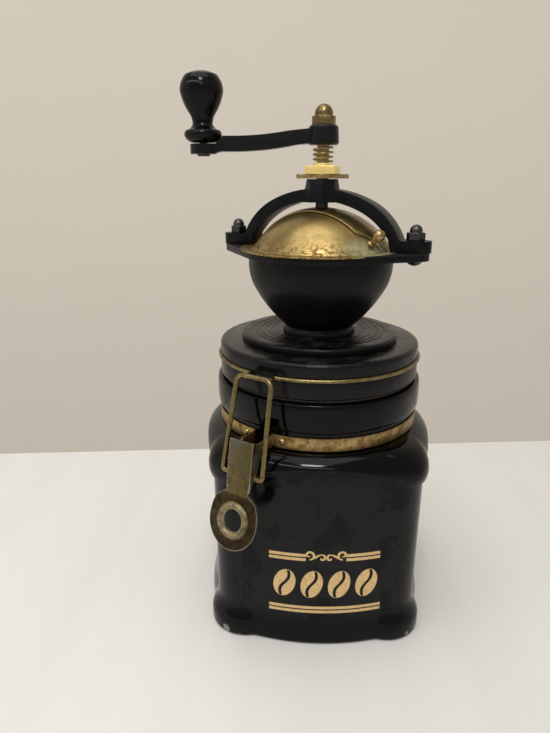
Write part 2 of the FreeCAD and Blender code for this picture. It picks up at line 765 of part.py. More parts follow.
def canister_shape():
    """Scalloped body, arched overhanging shoulder and ringed neck, less the hollow inside."""
    base = [base_ring(share) for share in (0, 0.35, 0.7, 1)]
    flank = base[-1:] + [flank_ring(share) for share in FLANK_SHARES]
    upper = [flank[-1], flank_ring(0.65), flank_ring(1)]
    ledge = [upper[-1], lip_ring(0.9, -LEDGE_STEP)]
    top = ledge[-1:] + [lip_ring(0.1, 0.35), lip_ring(0, float(D.lip_rise))]
    top += [shoulder_ring((step + 1) / SHOULDER_STEPS) for step in range(SHOULDER_STEPS)]
    faces = skin(base, True) + skin(flank, False) + skin(upper, True)
    faces += skin(ledge, True) + skin(top, False)
    faces += [Part.Face(ring_wire(base[0])), Part.Face(ring_wire(top[-1]))]
    shell = Part.makeShell(faces)
    shell.sewShape()
    body_solid = Part.makeSolid(shell)

    neck_base = float(D.neck_base)
    neck = float(D.neck_radius)
    bottom = float(ring_bottom)
    peak = float(ring_top)
    ring = neck + float(D.ring_bulge)
    mouth = float(D.mouth_radius)
    rim = ring_face([
        (0, neck_base - 8), (neck, neck_base - 8), (neck, bottom - 0.6), (neck + 1.2, bottom),
        (ring, bottom + 6.6, -12.0), (neck + 0.7, peak, -14.0), (mouth + 1.4, peak),
        (mouth, peak - 1.4, 1.4), (mouth, neck_base - 2), (0, neck_base - 2)])

    half = float(D.face_reach - D.face_flare - D.face_taper - D.wall)
    inner_corner = float(D.inner_corner)
    straight = half - inner_corner
    bend = inner_corner * math.sqrt(0.5)
    edges = []
    for index in range(4):
        spin = FreeCAD.Rotation(UP, 90 * index)
        points = (
            V(-straight, -half, 0), V(straight, -half, 0), V(straight + bend, -straight - bend, 0),
            V(half, -straight, 0))
        side_start, side_end, round_middle, next_side = [spin.multVec(point) for point in points]
        edges.append(Part.LineSegment(side_start, side_end).toShape())
        edges.append(Part.Arc(side_end, round_middle, next_side).toShape())
    floor = float(D.floor_thickness)
    hollow = Part.Face(Part.Wire(edges)).extrude(V(0, 0, neck_base - 6 - floor))
    hollow.translate(V(0, 0, floor))
    inside = ring_face([
        (0, floor - 1), (half + 20, floor - 1), (half + 20, neck_base - 26),
        (mouth - 1, neck_base - 6, 34.0), (0, neck_base - 6)])
    bore = Part.makeCylinder(mouth, 20, V(0, 0, neck_base - 14))
    return body_solid.fuse(rim).cut(hollow.common(inside).fuse(bore))


canister = feature("canister", canister_shape())


# Strap, rivets and rear bracket

def strap():
    """Band round the neck with two ears for the lever pin and holes for the rivets."""
    ring = cylinder("strap_ring", strap_outer, D.strap_width, 0, 0, strap_bottom)
    hole = cylinder("strap_hole", strap_inner, D.strap_width, 0, 0, strap_bottom)
    mouth = block(
        "strap_mouth", (-D.ear_spread, -strap_outer - 1, strap_bottom - 1),
        (D.ear_spread * 2, strap_outer * 0.5, D.strap_width + 2))
    band = cut("strap_band", ring, hole, mouth)
    pieces = [band]
    for side, start in (("left", -D.ear_spread - D.sheet_metal), ("right", D.ear_spread)):
        pieces.append(block(
            "ear_%s" % side, (start, -D.pivot_reach, strap_bottom),
            (D.sheet_metal, D.pivot_reach - strap_inner - 0.1, D.ear_round * 2)))
        pieces.append(cylinder(
            "ear_end_%s" % side, D.ear_round, D.sheet_metal, start, -D.pivot_reach, pin_level,
            along_x=True))
    solid = fuse("strap_solid", *pieces)
    across = cylinder(
        "ear_bore", D.pin_radius + D.running_fit, D.ear_spread * 4, -D.ear_spread * 2, -D.pivot_reach,
        pin_level, along_x=True)
    tools = [across]
    for number, angle in enumerate((D.rivet_angle, -D.rivet_angle, 176.0, -176.0)):
        name = "strap_rivet_hole_%d" % number
        tools.append(radial_pin(name, D.rivet_radius, D.neck_radius - 2, 6.0, angle))
    return turn(cut("neck_strap", solid, *tools), D.clasp_turn)


def radial_pin(name, radius, start, length, angle):
    """A small cylinder that points away from the axis at the strap's middle height."""
    made = doc.addObject("Part::Cylinder", name)
    bind(made, Radius=radius, Height=length)
    made.Placement.Rotation = FreeCAD.Rotation(V(1, 0, 0), 90)
    place(made, 0, -start, (strap_bottom + strap_top) * 0.5)
    return turn(group(name + "_turned", [made]), angle)


def rivet(name, seat, length, angle):
    """A round-headed rivet: its head stands on a surface, its shank goes in by a length."""
    level_z = (strap_bottom + strap_top) * 0.5
    shank = doc.addObject("Part::Cylinder", name + "_shank")
    bind(shank, Radius=D.rivet_radius - 0.05, Height=length + 0.4)
    shank.Placement.Rotation = FreeCAD.Rotation(V(1, 0, 0), 90)
    place(shank, 0, -(seat - length), level_z)
    ball = sphere(name + "_ball", D.rivet_radius * 2.2, 0, -(seat - D.rivet_radius), level_z)
    room = block(
        name + "_room", (-4, -(seat + 4), level_z - 4), (8, 4, 8))
    head = common(name + "_head", ball, room)
    return turn(fuse(name, shank, head), angle)


def bracket():
    """Rear bracket: a plate on the strap and two ears round the bail wire's ends."""
    edge = 0.3
    outer = cylinder(
        "bracket_outer", strap_outer + D.sheet_metal, D.strap_width - edge * 2, 0, 0, strap_bottom + edge)
    inner = cylinder("bracket_inner", strap_outer, D.strap_width, 0, 0, strap_bottom)
    room = block(
        "bracket_room", (-D.hinge_leg, 0, strap_bottom - 1),
        (D.hinge_leg * 2, strap_outer * 2, D.strap_width + 2))
    plate = common("bracket_plate", cut("bracket_ring", outer, inner), room)
    near = strap_outer + D.sheet_metal * 0.4
    lug = D.hinge_lug
    ears = slab("bracket_ears", "YZ", [
        (near, strap_bottom + edge), (near + 4.2, strap_bottom + edge),
        (D.hinge_reach + lug, D.hinge_height), (D.hinge_reach, D.hinge_height + lug, -lug),
        (D.hinge_reach - lug, D.hinge_height, -lug), (D.hinge_reach - lug, ring_bottom - 1.0),
        (near + 1.0, strap_top - 0.4), (near, strap_top - 0.4)],
        (D.hinge_spread + 1) * 2, symmetric=True,
        holes=[(D.hinge_reach, D.hinge_height, D.bail_wire_radius + D.running_fit)])
    space = block(
        "bracket_space", (-D.hinge_spread, near - 2, strap_bottom - 2),
        (D.hinge_spread * 2, D.hinge_reach * 0.5, D.hinge_reach * 0.5))
    solid = fuse("bracket_solid", plate, cut("bracket_two_ears", ears, space))
    holes = [radial_pin("bracket_hole_%d" % n, D.rivet_radius, D.neck_radius, 12.0, angle)
             for n, angle in enumerate((176.0, -176.0))]
    return turn(cut("hinge_bracket", solid, *holes), D.clasp_turn)


neck_strap = strap()
strap_rivets = turn(group("strap_rivets", [
    rivet("strap_rivet_%d" % number, strap_outer, D.sheet_metal, angle)
    for number, angle in enumerate((D.rivet_angle, -D.rivet_angle))]), D.clasp_turn)
hinge_bracket = bracket()
hinge_rivets = turn(group("hinge_rivets", [
    rivet("hinge_rivet_%d" % number, strap_outer + D.sheet_metal, D.sheet_metal * 2, angle)
    for number, angle in enumerate((176.0, -176.0))]), D.clasp_turn)


# Clasp

knee_level = level("knee_level", pin_level - D.lever_knee_drop)
tip_level = level("tip_level", pin_level - D.lever_tip_drop)
lever_top = level("lever_top", pin_level + D.lever_top_rise)
loop_level = level("loop_level", pin_level - D.loop_pivot_drop)
doc.recompute()


def lever():
    """Stamped lever: bent front plate with a round pad, two flanges, a pressed ring and a hole."""
    metal = D.lever_plate
    top = D.lever_top_reach
    half = D.lever_width * 0.5
    side = slab("lever_side", "YZ", [
        (-top, lever_top), (-knee_reach, knee_level), (-tip_reach, tip_level),
        (-tip_reach + metal, tip_level), (-knee_reach + metal, knee_level), (-top + metal, lever_top)],
        D.pad_radius * 2.4, symmetric=True)
    pad_level = tip_level + D.pad_radius
    corner = D.pad_corner
    corner_level = pad_level + D.pad_corner_rise
    inset = D.pad_radius - corner
    side_round = (inset * inset + D.pad_corner_rise * D.pad_corner_rise) / (inset * 2)
    eased_corner = 0.6
    front = slab("lever_front", "XZ", [
        (half, lever_top - eased_corner), (half - eased_corner, lever_top),
        (-half + eased_corner, lever_top), (-half, lever_top - eased_corner), (-half, loop_level),
        (-half + D.lever_waist, knee_level), (-corner, corner_level),
        (-D.pad_radius, pad_level, -side_round), (0, tip_level, -D.pad_radius),
        (D.pad_radius, pad_level, -D.pad_radius), (corner, corner_level, -side_round),
        (half - D.lever_waist, knee_level), (half, loop_level)], tip_reach + 10)
    plate = common("lever_plate_bent", side, front)
    lug = D.loop_wire + metal
    ear = D.ear_round
    flange_top = (-top + 0.2, lever_top)
    flange_foot = (-knee_reach + metal * 0.6, knee_level + metal)
    flanges = slab("lever_flanges", "YZ", [
        flange_top, (-D.pivot_reach - 1.6, pin_level + ear + 0.2), (-D.pivot_reach + ear, pin_level, 5.0),
        (-D.pivot_reach - 1.2, pin_level - ear + 0.2, 3.2), (-loop_reach + lug * 0.96, loop_level + 1.1),
        (-loop_reach - 0.2, loop_level - lug, lug + 0.4), flange_foot], D.lever_width, symmetric=True)
    channel = block(
        "lever_channel", (-half + metal, -tip_reach, tip_level),
        (D.lever_width - metal * 2, tip_reach, D.lever_tip_drop * 2))
    lean = math.degrees(math.atan2(float(D.lever_tip_out), float(D.lever_tip_drop - D.lever_knee_drop)))
    reach = float(tip_reach) - float(D.pad_radius) * math.tan(math.radians(lean))
    emboss = turned_body("lever_emboss", [
        (D.pad_hole, -metal * 0.5), (D.pad_ring, -metal * 0.5), (D.pad_ring, 0),
        (D.pad_ring - 1.4, D.pad_emboss, 2.4), (D.pad_hole + 1.2, D.pad_emboss), (D.pad_hole, 0.2, 2.0)])
    emboss.Placement = FreeCAD.Placement(
        V(0, -reach, float(pad_level)), FreeCAD.Rotation(V(1, 0, 0), 90 - lean))
    hole = cylinder("lever_pad_hole", D.pad_hole, D.pad_radius * 2)
    hole.Placement = FreeCAD.Placement(
        V(0, float(D.pad_radius) - reach, float(pad_level)), FreeCAD.Rotation(V(1, 0, 0), 90))
    solid = fuse("lever_solid", plate, cut("lever_two_flanges", flanges, channel), emboss)
    bores = [
        cylinder(
            name, radius, D.lever_width * 2, -D.lever_width, -from_axis, height, along_x=True)
        for name, radius, from_axis, height in (
            ("lever_pin_bore", D.pin_radius, D.pivot_reach, pin_level),
            ("lever_loop_bore", D.loop_wire + D.running_fit, loop_reach, loop_level))]
    return turn(cut("clasp_lever", solid, hole, *bores), D.clasp_turn)


def lever_rod():
    """Lever pin with a flat head outside each flange."""
    half = D.lever_width * 0.5
    rod = cylinder(
        "lever_rod", D.pin_radius - 0.01, D.lever_width, -half, -D.pivot_reach, pin_level, along_x=True)
    heads = [cylinder(
        "lever_rod_head_%d" % number, D.pin_radius + 0.8, 0.6, start, -D.pivot_reach, pin_level, along_x=True)
        for number, start in enumerate((-half - 0.6, half))]
    return turn(fuse("lever_pin", rod, *heads), D.clasp_turn)


def loop():
    """Rectangular wire loop: its ends turn in through the lever's flanges."""
    spread = float(D.loop_spread)
    foot = float(D.loop_foot_spread)
    low_y = -float(loop_reach)
    low_z = float(loop_level)
    high_y = -float(catch_bar + D.bail_wire_radius + D.loop_play + D.loop_wire)
    high_z = float(bail_level + D.loop_over)
    inside = float(D.lever_width) / 2 - float(D.lever_plate) - 1.2
    points = [
        V(-inside, low_y, low_z), V(-foot, low_y, low_z), V(-spread, high_y, high_z),
        V(spread, high_y, high_z), V(foot, low_y, low_z), V(inside, low_y, low_z)]
    corner = 1.25 * float(D.loop_wire)
    upper = float(D.loop_round)
    shape = tube(rounded_path(points, (corner, upper, upper, corner)), float(D.loop_wire))
    return turn(feature("clasp_loop", shape), float(D.clasp_turn))


clasp_lever = lever()
lever_pin = lever_rod()
clasp_loop = loop()


# Lid

def bail():
    """Wire in the lid's groove, bent out as the catch in front and down to the hinge behind."""
    ring = float(bail_ring)
    z = float(bail_level)
    spread = float(D.catch_spread)
    bar = float(catch_bar)
    leg = float(D.hinge_leg)
    rear = float(D.hinge_reach)
    low = float(D.hinge_height)
    inside = float(D.hinge_spread) - 1.6
    distance = math.hypot(leg, rear)
    leave = math.atan2(leg, rear) + math.acos(ring / distance)
    enter = math.asin((spread + 3.0) / ring)
    rear_point = V(ring * math.sin(leave), ring * math.cos(leave), z)
    front_point = V(ring * math.sin(enter), -ring * math.cos(enter), z)
    run = (front_point.x - spread) / math.cos(enter)
    turn_in = V(spread, front_point.y - run * math.sin(enter), z)
    side_angle = (leave + math.pi - enter) / 2
    side_point = V(ring * math.sin(side_angle), ring * math.cos(side_angle), z)
    behind = [V(inside, rear, low), V(leg, rear, low), V(leg, rear, z), rear_point]
    front = [turn_in, V(spread, -bar, z)]

    def mirrored(points):
        return [V(-point.x, point.y, point.z) for point in reversed(points)]

    edges = rounded_path(behind, (2.0, 3.0))
    edges.append(Part.Arc(rear_point, side_point, front_point).toShape())
    edges += rounded_path([front_point] + front + mirrored(front) + mirrored([front_point]), (1.6,) * 4)
    edges.append(Part.Arc(*mirrored([rear_point, side_point, front_point])).toShape())
    edges += rounded_path(mirrored(behind), (3.0, 2.0))
    return turn(feature("bail_wire", tube(edges, float(D.bail_wire_radius))), float(D.clasp_turn))


def screw_holes(owner, radius):
    """Three round holes on the screw circle, right through a body."""
    drawing = sketch(owner, "XY")
    circle(drawing, radius, D.screw_circle, 0)
    holes = drill(owner, drawing)
    pattern = owner.newObject("PartDesign::PolarPattern", owner.Name + "_pattern")
    pattern.Originals = [holes]
    pattern.Axis = (drawing, ["N_Axis"])
    pattern.Angle = 360
    pattern.Occurrences = 3
    owner.Tip = pattern
    return owner


def lid():
    """Thick turned lid with a rounded top edge and the bail groove."""
    half = root(D.groove_radius * D.groove_radius - D.bail_stand * D.bail_stand)
    return screw_holes(turned_body("lid_board", [
        (D.outlet_radius, lid_bottom), (D.lid_radius - 0.8, lid_bottom), (D.lid_radius, lid_bottom + 0.8),
        (D.lid_radius, bail_level - half), (D.lid_radius, bail_level + half, D.groove_radius),
        (D.lid_radius, lid_top - D.lid_round), (D.lid_radius - D.lid_round, lid_top, -D.lid_round),
        (D.outlet_radius, lid_top)]), screw_hole)


def plug():
    """Spigot below the lid, with sunk holes for the screw heads."""
    made = screw_holes(turned_body("plug_turning", [
        (D.outlet_radius, plug_bottom), (plug_radius - 1.2, plug_bottom), (plug_radius, plug_bottom + 1.2),
        (plug_radius, lid_bottom), (D.outlet_radius, lid_bottom)]), screw_hole)
    sinks = []
    for index in range(3):
        sink = cylinder(
            "plug_sink_%d" % index, D.screw_head + 0.3, D.screw_head_height + 1.2, D.screw_circle, 0,
            plug_bottom - 0.5)
        sinks.append(turn(group("plug_sink_turned_%d" % index, [sink]), 120.0 * index))
    return cut("lid_plug", made, *sinks)


def disc():
    """Turned disc with ring grooves, a rounded edge and a recess for the bearing plate."""
    corners = [
        (D.outlet_radius, lid_top), (D.disc_radius - 0.5, lid_top), (D.disc_radius, lid_top + 0.5),
        (D.disc_radius, mill_foot - 1.3), (D.disc_radius - 1.3, mill_foot, -1.3)]
    for share in (0.84, 0.76, 0.68, 0.6):
        middle = D.disc_radius * share
        corners += [
            (middle + 0.9, mill_foot), (middle, mill_foot - D.ring_groove), (middle - 0.9, mill_foot)]
    corners += [
        (D.spider_radius + 0.2, mill_foot), (D.spider_radius + 0.2, spider_bottom),
        (D.outlet_radius, spider_bottom)]
    return screw_holes(turned_body("turned_disc", corners), screw_hole)


bail_wire = bail()
lid_board = lid()
lid_plug = plug()
gasket_rounds = [
    cylinder(name, radius, D.gasket_thickness, 0, 0, ring_top + D.gasket_gap)
    for name, radius in (("gasket_outer_round", gasket_outer), ("gasket_inner_round", gasket_inner))]
lid_gasket = cut("lid_gasket", *gasket_rounds)
turned_disc = disc()


# Mill

def bowl():
    """Cast bowl on a small foot, with a flange that has two ears."""
    wall = D.bowl_wall
    burr_top = mill_foot + D.burr_height + 0.2
    middle_x = D.waist_radius + (D.bowl_radius - D.waist_radius) * 0.88
    middle_z = mill_foot + D.bowl_height * 0.58
    cast = turned_body("bowl_turning", [
        (D.burr_radius + 0.05, mill_foot), (D.foot_radius, mill_foot), (D.foot_radius - 0.4, mill_foot + 1.8),
        (D.waist_radius, mill_foot + 3.2, 3.0), (middle_x, middle_z, -75.0),
        (D.bowl_radius, bowl_top - 4.4, -29.4), (D.bowl_radius, bowl_top),
        (D.bowl_radius - wall, bowl_top), (D.bowl_radius - wall, bowl_top - 5.0),
        (middle_x - wall, middle_z + 1.6, 26.3), (D.burr_radius - 1.0, burr_top + 1.6, 72.0),
        (D.burr_radius - 1.2, burr_top), (D.burr_radius + 0.05, burr_top)])
    flange = slab(
        "bowl_flange", "XY", eye_outline(D.flange_radius, D.bolt_reach, D.ear_end), D.flange_thickness,
        lift=bowl_top - D.flange_thickness,
        holes=[(D.bolt_reach, 0, bolt_hole), (-D.bolt_reach, 0, bolt_hole), (0, 0, D.bowl_radius - wall)])
    solid = fuse("bowl_solid", cast, flange)
    holes = []
    for index in range(3):
        hole = cylinder("bowl_thread_%d" % index, screw_hole, 10.5, D.screw_circle, 0, mill_foot - 0.5)
        angle = 120.0 * index - float(D.bridge_turn)
        holes.append(turn(group("bowl_thread_turned_%d" % index, [hole]), angle))
    return turn(cut("hopper_bowl", solid, *holes), D.bridge_turn)


def screws():
    """Three screws that hold the mill on the lid from below."""
    made = []
    for index in range(3):
        head = cylinder(
            "screw_head_%d" % index, D.screw_head, D.screw_head_height, D.screw_circle, 0, plug_bottom + 0.5)
        shank = cylinder(
            "screw_shank_%d" % index, D.screw_radius, D.screw_length + 0.5, D.screw_circle, 0,
            plug_bottom + D.screw_head_height)
        made.append(turn(fuse("mill_screw_%d" % index, head, shank), 120.0 * index))
    return group("mill_screws", made)


def spider():
    """Lower bearing plate: ring, three arms and a hub."""
    made = body("bearing_spider")
    ring = sketch(made, "XY", spider_bottom)
    circle(ring, D.spider_radius)
    circle(ring, D.outlet_radius - 0.5)
    pad(made, ring, D.spider_thickness)
    arm = sketch(made, "XY", spider_bottom)
    outline(arm, [
        (0, -D.spider_arm * 0.5), (D.outlet_radius + 1, -D.spider_arm * 0.5),
        (D.outlet_radius + 1, D.spider_arm * 0.5), (0, D.spider_arm * 0.5)])
    arms = pad(made, arm, D.spider_thickness)
    pattern = made.newObject("PartDesign::PolarPattern", "spider_arms")
    pattern.Originals = [arms]
    pattern.Axis = (arm, ["N_Axis"])
    pattern.Angle = 360
    pattern.Occurrences = 3
    made.Tip = pattern
    hub = sketch(made, "XY", spider_bottom)
    circle(hub, D.spider_hub)
    pad(made, hub, D.spider_thickness)
    bore = sketch(made, "XY")
    circle(bore, bearing_bore)
    drill(made, bore)
    return screw_holes(made, screw_hole)


def star(tip, depth, count, height, twist):
    """Closed ring of straight flutes: tips and valleys in turn."""
    points = []
    for index in range(2 * count):
        radius = tip if index % 2 == 0 else tip - depth
        angle = math.pi * index / count + math.radians(twist)
        points.append(V(radius * math.cos(angle), radius * math.sin(angle), height))
    return Part.makePolygon(points + points[:1])


def burrs():
    """Fixed burr with inner teeth, and the fluted cone that turns in it."""
    foot = float(mill_foot)
    depth = float(D.tooth_depth)
    height = float(D.burr_height)
    cone = float(D.cone_radius)
    cone_top = float(D.cone_top_radius)
    low_mouth = cone + float(D.burr_gap) + depth
    high_mouth = low_mouth - 1.4
    outer = Part.makeCylinder(float(D.burr_radius), height, V(0, 0, foot + 0.1))
    teeth = Part.makeLoft([
        star(low_mouth, depth, 14, foot, 0),
        star(high_mouth, depth, 14, foot + height + 0.2, -12)], True, True)
    fixed = feature("burr_ring", outer.cut(teeth))
    flutes = Part.makeLoft([
        star(cone, depth, 12, foot + 0.3, 0),
        star(cone_top, depth, 12, foot + float(D.cone_height), 28)], True, True)
    bore = Part.makeCylinder(float(D.shaft_radius) + 0.02, 60, V(0, 0, foot - 10))
    return fixed, feature("burr_cone", flutes.cut(bore))


def shaft():
    """Spindle: retaining collar, bearing length, upper length, square and thread."""
    made = turned_body("drive_shaft", [
        (0, spider_bottom - 3.6), (D.shaft_radius + 1.4, spider_bottom - 3.6),
        (D.shaft_radius + 1.4, spider_bottom - 0.4), (D.shaft_radius, spider_bottom - 0.4),
        (D.shaft_radius, boss_top - 0.2), (D.spindle_radius, boss_top), (D.spindle_radius, hub_bottom),
        (D.thread_radius - 0.3, hub_bottom), (D.thread_radius - 0.3, hub_top), (D.thread_radius, hub_top),
        (D.thread_radius, hub_top + D.top_nut_height + 2.0), (0, hub_top + D.top_nut_height + 2.6)])
    square = sketch(made, "XY", hub_bottom)
    outline(square, square_outline(D.square_side * 0.5))
    pad(made, square, D.hub_height)
    return made


def cover():
    """Brass flange with ears and the fixed dome, open in front for the door."""
    rise = cover_top - D.cover_thickness - dome_centre
    inner = D.dome_radius - D.dome_metal
    dome_foot = root(inner * inner - rise * rise)
    plate = slab(
        "cover_plate", "XY", eye_outline(D.cover_radius, D.bolt_reach, D.ear_end), D.cover_thickness,
        lift=bowl_top,
        holes=[(D.bolt_reach, 0, bolt_hole), (-D.bolt_reach, 0, bolt_hole), (0, 0, dome_foot - 0.45)])
    skin = turned_body("cover_dome", [
        (root(D.dome_radius * D.dome_radius - rise * rise), cover_top - D.cover_thickness),
        (D.shaft_hole, dome_centre + root(D.dome_radius * D.dome_radius - D.shaft_hole * D.shaft_hole),
         -D.dome_radius),
        (D.shaft_hole, dome_centre + root(inner * inner - D.shaft_hole * D.shaft_hole)),
        (dome_foot, cover_top - D.cover_thickness, inner)])
    edge = D.door_edge
    reach = D.cover_radius + 6
    front = slab("door_opening", "XY", [
        (-reach, -reach), (reach, -reach), (reach, 0.4), (D.dome_radius * 0.85, 0.4),
        (D.dome_radius * 0.7, -edge * 0.42), (D.dome_radius * 0.6, -edge), (-reach, -edge)],
        D.dome_rise + 10, lift=cover_top + D.rim_height)
    opening = turn(group("door_opening_turned", [front]), D.door_turn - D.bridge_turn)
    return turn(fuse("dome_cover", plate, cut("cover_open_dome", skin, opening)), D.bridge_turn)


def door():
    """Half dome under the fixed one, with an eye round the shaft, and its ball knob."""
    outer = D.dome_radius - D.dome_metal - D.door_gap
    inner = outer - D.dome_metal
    foot = cover_top + 0.4
    rise = foot - dome_centre
    skin = turned_body("door_dome", [
        (root(outer * outer - rise * rise), foot),
        (D.shaft_hole, dome_centre + root(outer * outer - D.shaft_hole * D.shaft_hole), -outer),
        (D.shaft_hole, dome_centre + root(inner * inner - D.shaft_hole * D.shaft_hole)),
        (root(inner * inner - rise * rise), foot, inner)])
    room = D.cover_radius * 1.5
    behind = block("door_behind", (-room, 2, cover_top - 5), (room * 2, room, D.dome_rise + 10))
    eye = cylinder("door_eye", D.shaft_hole + 4, D.dome_rise + 12, 0, 0, cover_top - 6)
    shell = cut("door_half", skin, cut("door_back", behind, eye))
    height = math.sqrt(float(outer) ** 2 - float(D.knob_stem_reach) ** 2)
    foot_point = V(0, -float(D.knob_stem_reach), float(dome_centre) + height)
    lean = FreeCAD.Rotation(V(1, 0, 0), 90 - float(D.knob_tilt))
    metal = float(D.dome_metal)
    stem_hole = cylinder("door_stem_hole", D.stem_radius + 0.03, 8)
    stem_hole.Placement = FreeCAD.Placement(foot_point - lean.multVec(V(0, 0, 4)), lean)
    hole = turn(group("door_stem_hole_turned", [stem_hole]), -D.knob_angle)
    panel = turn(cut("dome_door", shell, hole), D.door_turn)
    knob = turned_body("door_knob", [
        (0, -metal - 1.3), (D.stem_radius + 0.7, -metal - 1.3), (D.stem_radius + 0.7, -metal - 0.45),
        (D.stem_radius, -metal - 0.45), (D.stem_radius, 0.5), (D.stem_radius + 0.8, 0.8),
        (D.stem_radius + 0.8, 1.6), (D.stem_radius, 2.1),
        (D.stem_radius, D.stem_length - root(D.ball_radius * D.ball_radius - D.stem_radius * D.stem_radius)),
        (D.ball_radius, D.stem_length, -D.ball_radius), (0, D.stem_length + D.ball_radius, -D.ball_radius)])
    spin = FreeCAD.Rotation(UP, float(D.knob_angle) - float(D.door_turn))
    knob.Placement = FreeCAD.Placement(spin.multVec(foot_point), spin.multiply(lean))
    return panel, knob


def bridge_piece():
    """Cast arch on two feet, with a tapered eight-sided boss for the upper bearing."""
    crown = cover_top + D.arch_height
    crown_drop = D.crown_radius - root(D.crown_radius * D.crown_radius - D.crown_reach * D.crown_reach)
    under = crown - D.arch_thickness
    inner_crown = D.crown_radius - D.arch_thickness - 0.8
    inner_reach = D.crown_reach - 5.5
    inner_drop = inner_crown - root(inner_crown * inner_crown - inner_reach * inner_reach)
    right = [
        (foot_end, cover_top), (foot_end, foot_top), (D.flank_reach, foot_top),
        (D.crown_reach, crown - crown_drop, -D.flank_radius)]
    corners = right + [
        (-D.crown_reach, crown - crown_drop, -D.crown_radius), (-D.flank_reach, foot_top, -D.flank_radius),
        (-foot_end, foot_top), (-foot_end, cover_top), (-D.bridge_inner_foot, cover_top),
        (-D.bridge_inner_foot + 1.4, foot_top + 0.3), (-inner_reach, under - inner_drop, D.flank_radius + 3),
        (inner_reach, under - inner_drop, inner_crown),
        (D.bridge_inner_foot - 1.4, foot_top + 0.3, D.flank_radius + 3), (D.bridge_inner_foot, cover_top)]
    arch = slab("bridge_arch", "XZ", corners, D.bridge_width, symmetric=True)
    boss = body("bridge_boss")
    sections = []
    for half, height in ((D.boss_foot, boss_bottom), (D.boss_top, boss_top)):
        drawing = sketch(boss, "XY", height)
        near = half * math.tan(math.pi / 8)
        outline(drawing, [
            (half, -near), (half, near), (near, half), (-near, half), (-half, near), (-half, -near),
            (-near, -half), (near, -half)])
        sections.append(drawing)
    loft = boss.newObject("PartDesign::AdditiveLoft", "bridge_boss_loft")
    loft.Profile = sections[0]
    loft.Sections = [sections[1]]
    loft.Ruled = True
    solid = fuse("bridge_solid", arch, boss)
    bore = cylinder("bridge_bore", bush_outer + 0.02, D.boss_length + 6, 0, 0, boss_bottom - 3)
    holes = [cylinder("bridge_bolt_hole_%d" % n, bolt_hole, D.bridge_foot + 4, x, 0, cover_top - 2)
             for n, x in enumerate((D.bolt_reach, -D.bolt_reach))]
    end = D.bridge_width * 0.5
    ends = slab(
        "bridge_plan", "XY", eye_outline(end + 6, foot_end - end, end), D.boss_height + 20,
        lift=cover_top - 5)
    return turn(cut("bridge", common("bridge_round", solid, ends), bore, *holes), D.bridge_turn)


def bridge_fasteners():
    """Two round-headed bolts up through the ears, and two cap nuts on the bridge's feet."""
    bolts = []
    nuts = []
    for index, x in enumerate((D.bolt_reach, -D.bolt_reach)):
        under = bowl_top - D.flange_thickness
        round_radius = D.bolt_head * 1.15
        ball = sphere(
            "bolt_ball_%d" % index, round_radius, x, 0, under - D.bolt_head_height + round_radius)
        room = block(
            "bolt_room_%d" % index, (x - 6, -6, under - 6), (12, 12, 6))
        round_head = common("bolt_head_%d" % index, ball, room, cylinder(
            "bolt_round_%d" % index, D.bolt_head, 8, x, 0, under - 7))
        clamped = D.flange_thickness + D.cover_thickness + D.bridge_foot
        shank = cylinder(
            "bolt_shank_%d" % index, D.bolt_radius, clamped + D.ear_nut_height + 0.5, x, 0, under - 0.2)
        bolts.append(fuse("bridge_bolt_%d" % index, round_head, shank))
        nut = cap_nut(
            "ear_nut_%d" % index, D.ear_nut, D.ear_nut_height, D.ear_nut_dome, D.bolt_radius + 0.02,
            D.ear_nut_height + 0.8, foot_top)
        nut.setExpression("Placement.Base.x", text_of(x))
        nuts.append(nut)
    return turn(group("bridge_bolts", bolts), D.bridge_turn), turn(group("bridge_nuts", nuts), D.bridge_turn)


hopper_bowl = bowl()
mill_screws = screws()
bearing_spider = spider()
burr_ring, burr_cone = burrs()
drive_shaft = shaft()
boss_bush = cut(
    "boss_bush", cylinder("bush_outside", bush_outer, D.boss_length, 0, 0, boss_bottom),
    cylinder("bush_inside", bearing_bore, D.boss_length, 0, 0, boss_bottom))
dome_cover = cover()
dome_door, door_knob = door()
bridge = bridge_piece()
bridge_bolts, bridge_nuts = bridge_fasteners()


# Adjustment and crank

def coil():
    """The spring as one open coil, and the least gap between its turns."""
    mean = float(D.spring_mean)
    wire = float(D.spring_wire)
    turns = float(D.spring_turns)
    low = float(collar_top) + float(D.rest_gap) + wire
    climb = float(hub_bottom) - 0.1 - wire - low
    steps = round(4 * turns)
    edges = []
    for index in range(steps):
        ends = []
        for share in (index / steps, (index + 1) / steps):
            angle = 2 * math.pi * turns * share
            point = V(mean * math.cos(angle), mean * math.sin(angle), low + climb * share)
            heading = V(-mean * math.sin(angle), mean * math.cos(angle), climb / (2 * math.pi * turns))
            ends.append((point, heading.normalize()))
        edges += biarc(*ends[0], *ends[1])
    pitch = climb / turns
    samples = [V(mean * math.cos(a), mean * math.sin(a), pitch * a / (2 * math.pi))
               for a in [math.radians(3 * n) for n in range(240)]]
    least = min((samples[0] - other).Length for other in samples[60:]) - 2 * wire
    print("spring: %.2f turns, least gap between turns %.2f mm" % (turns, least))
    return feature("spring", tube(edges, wire))


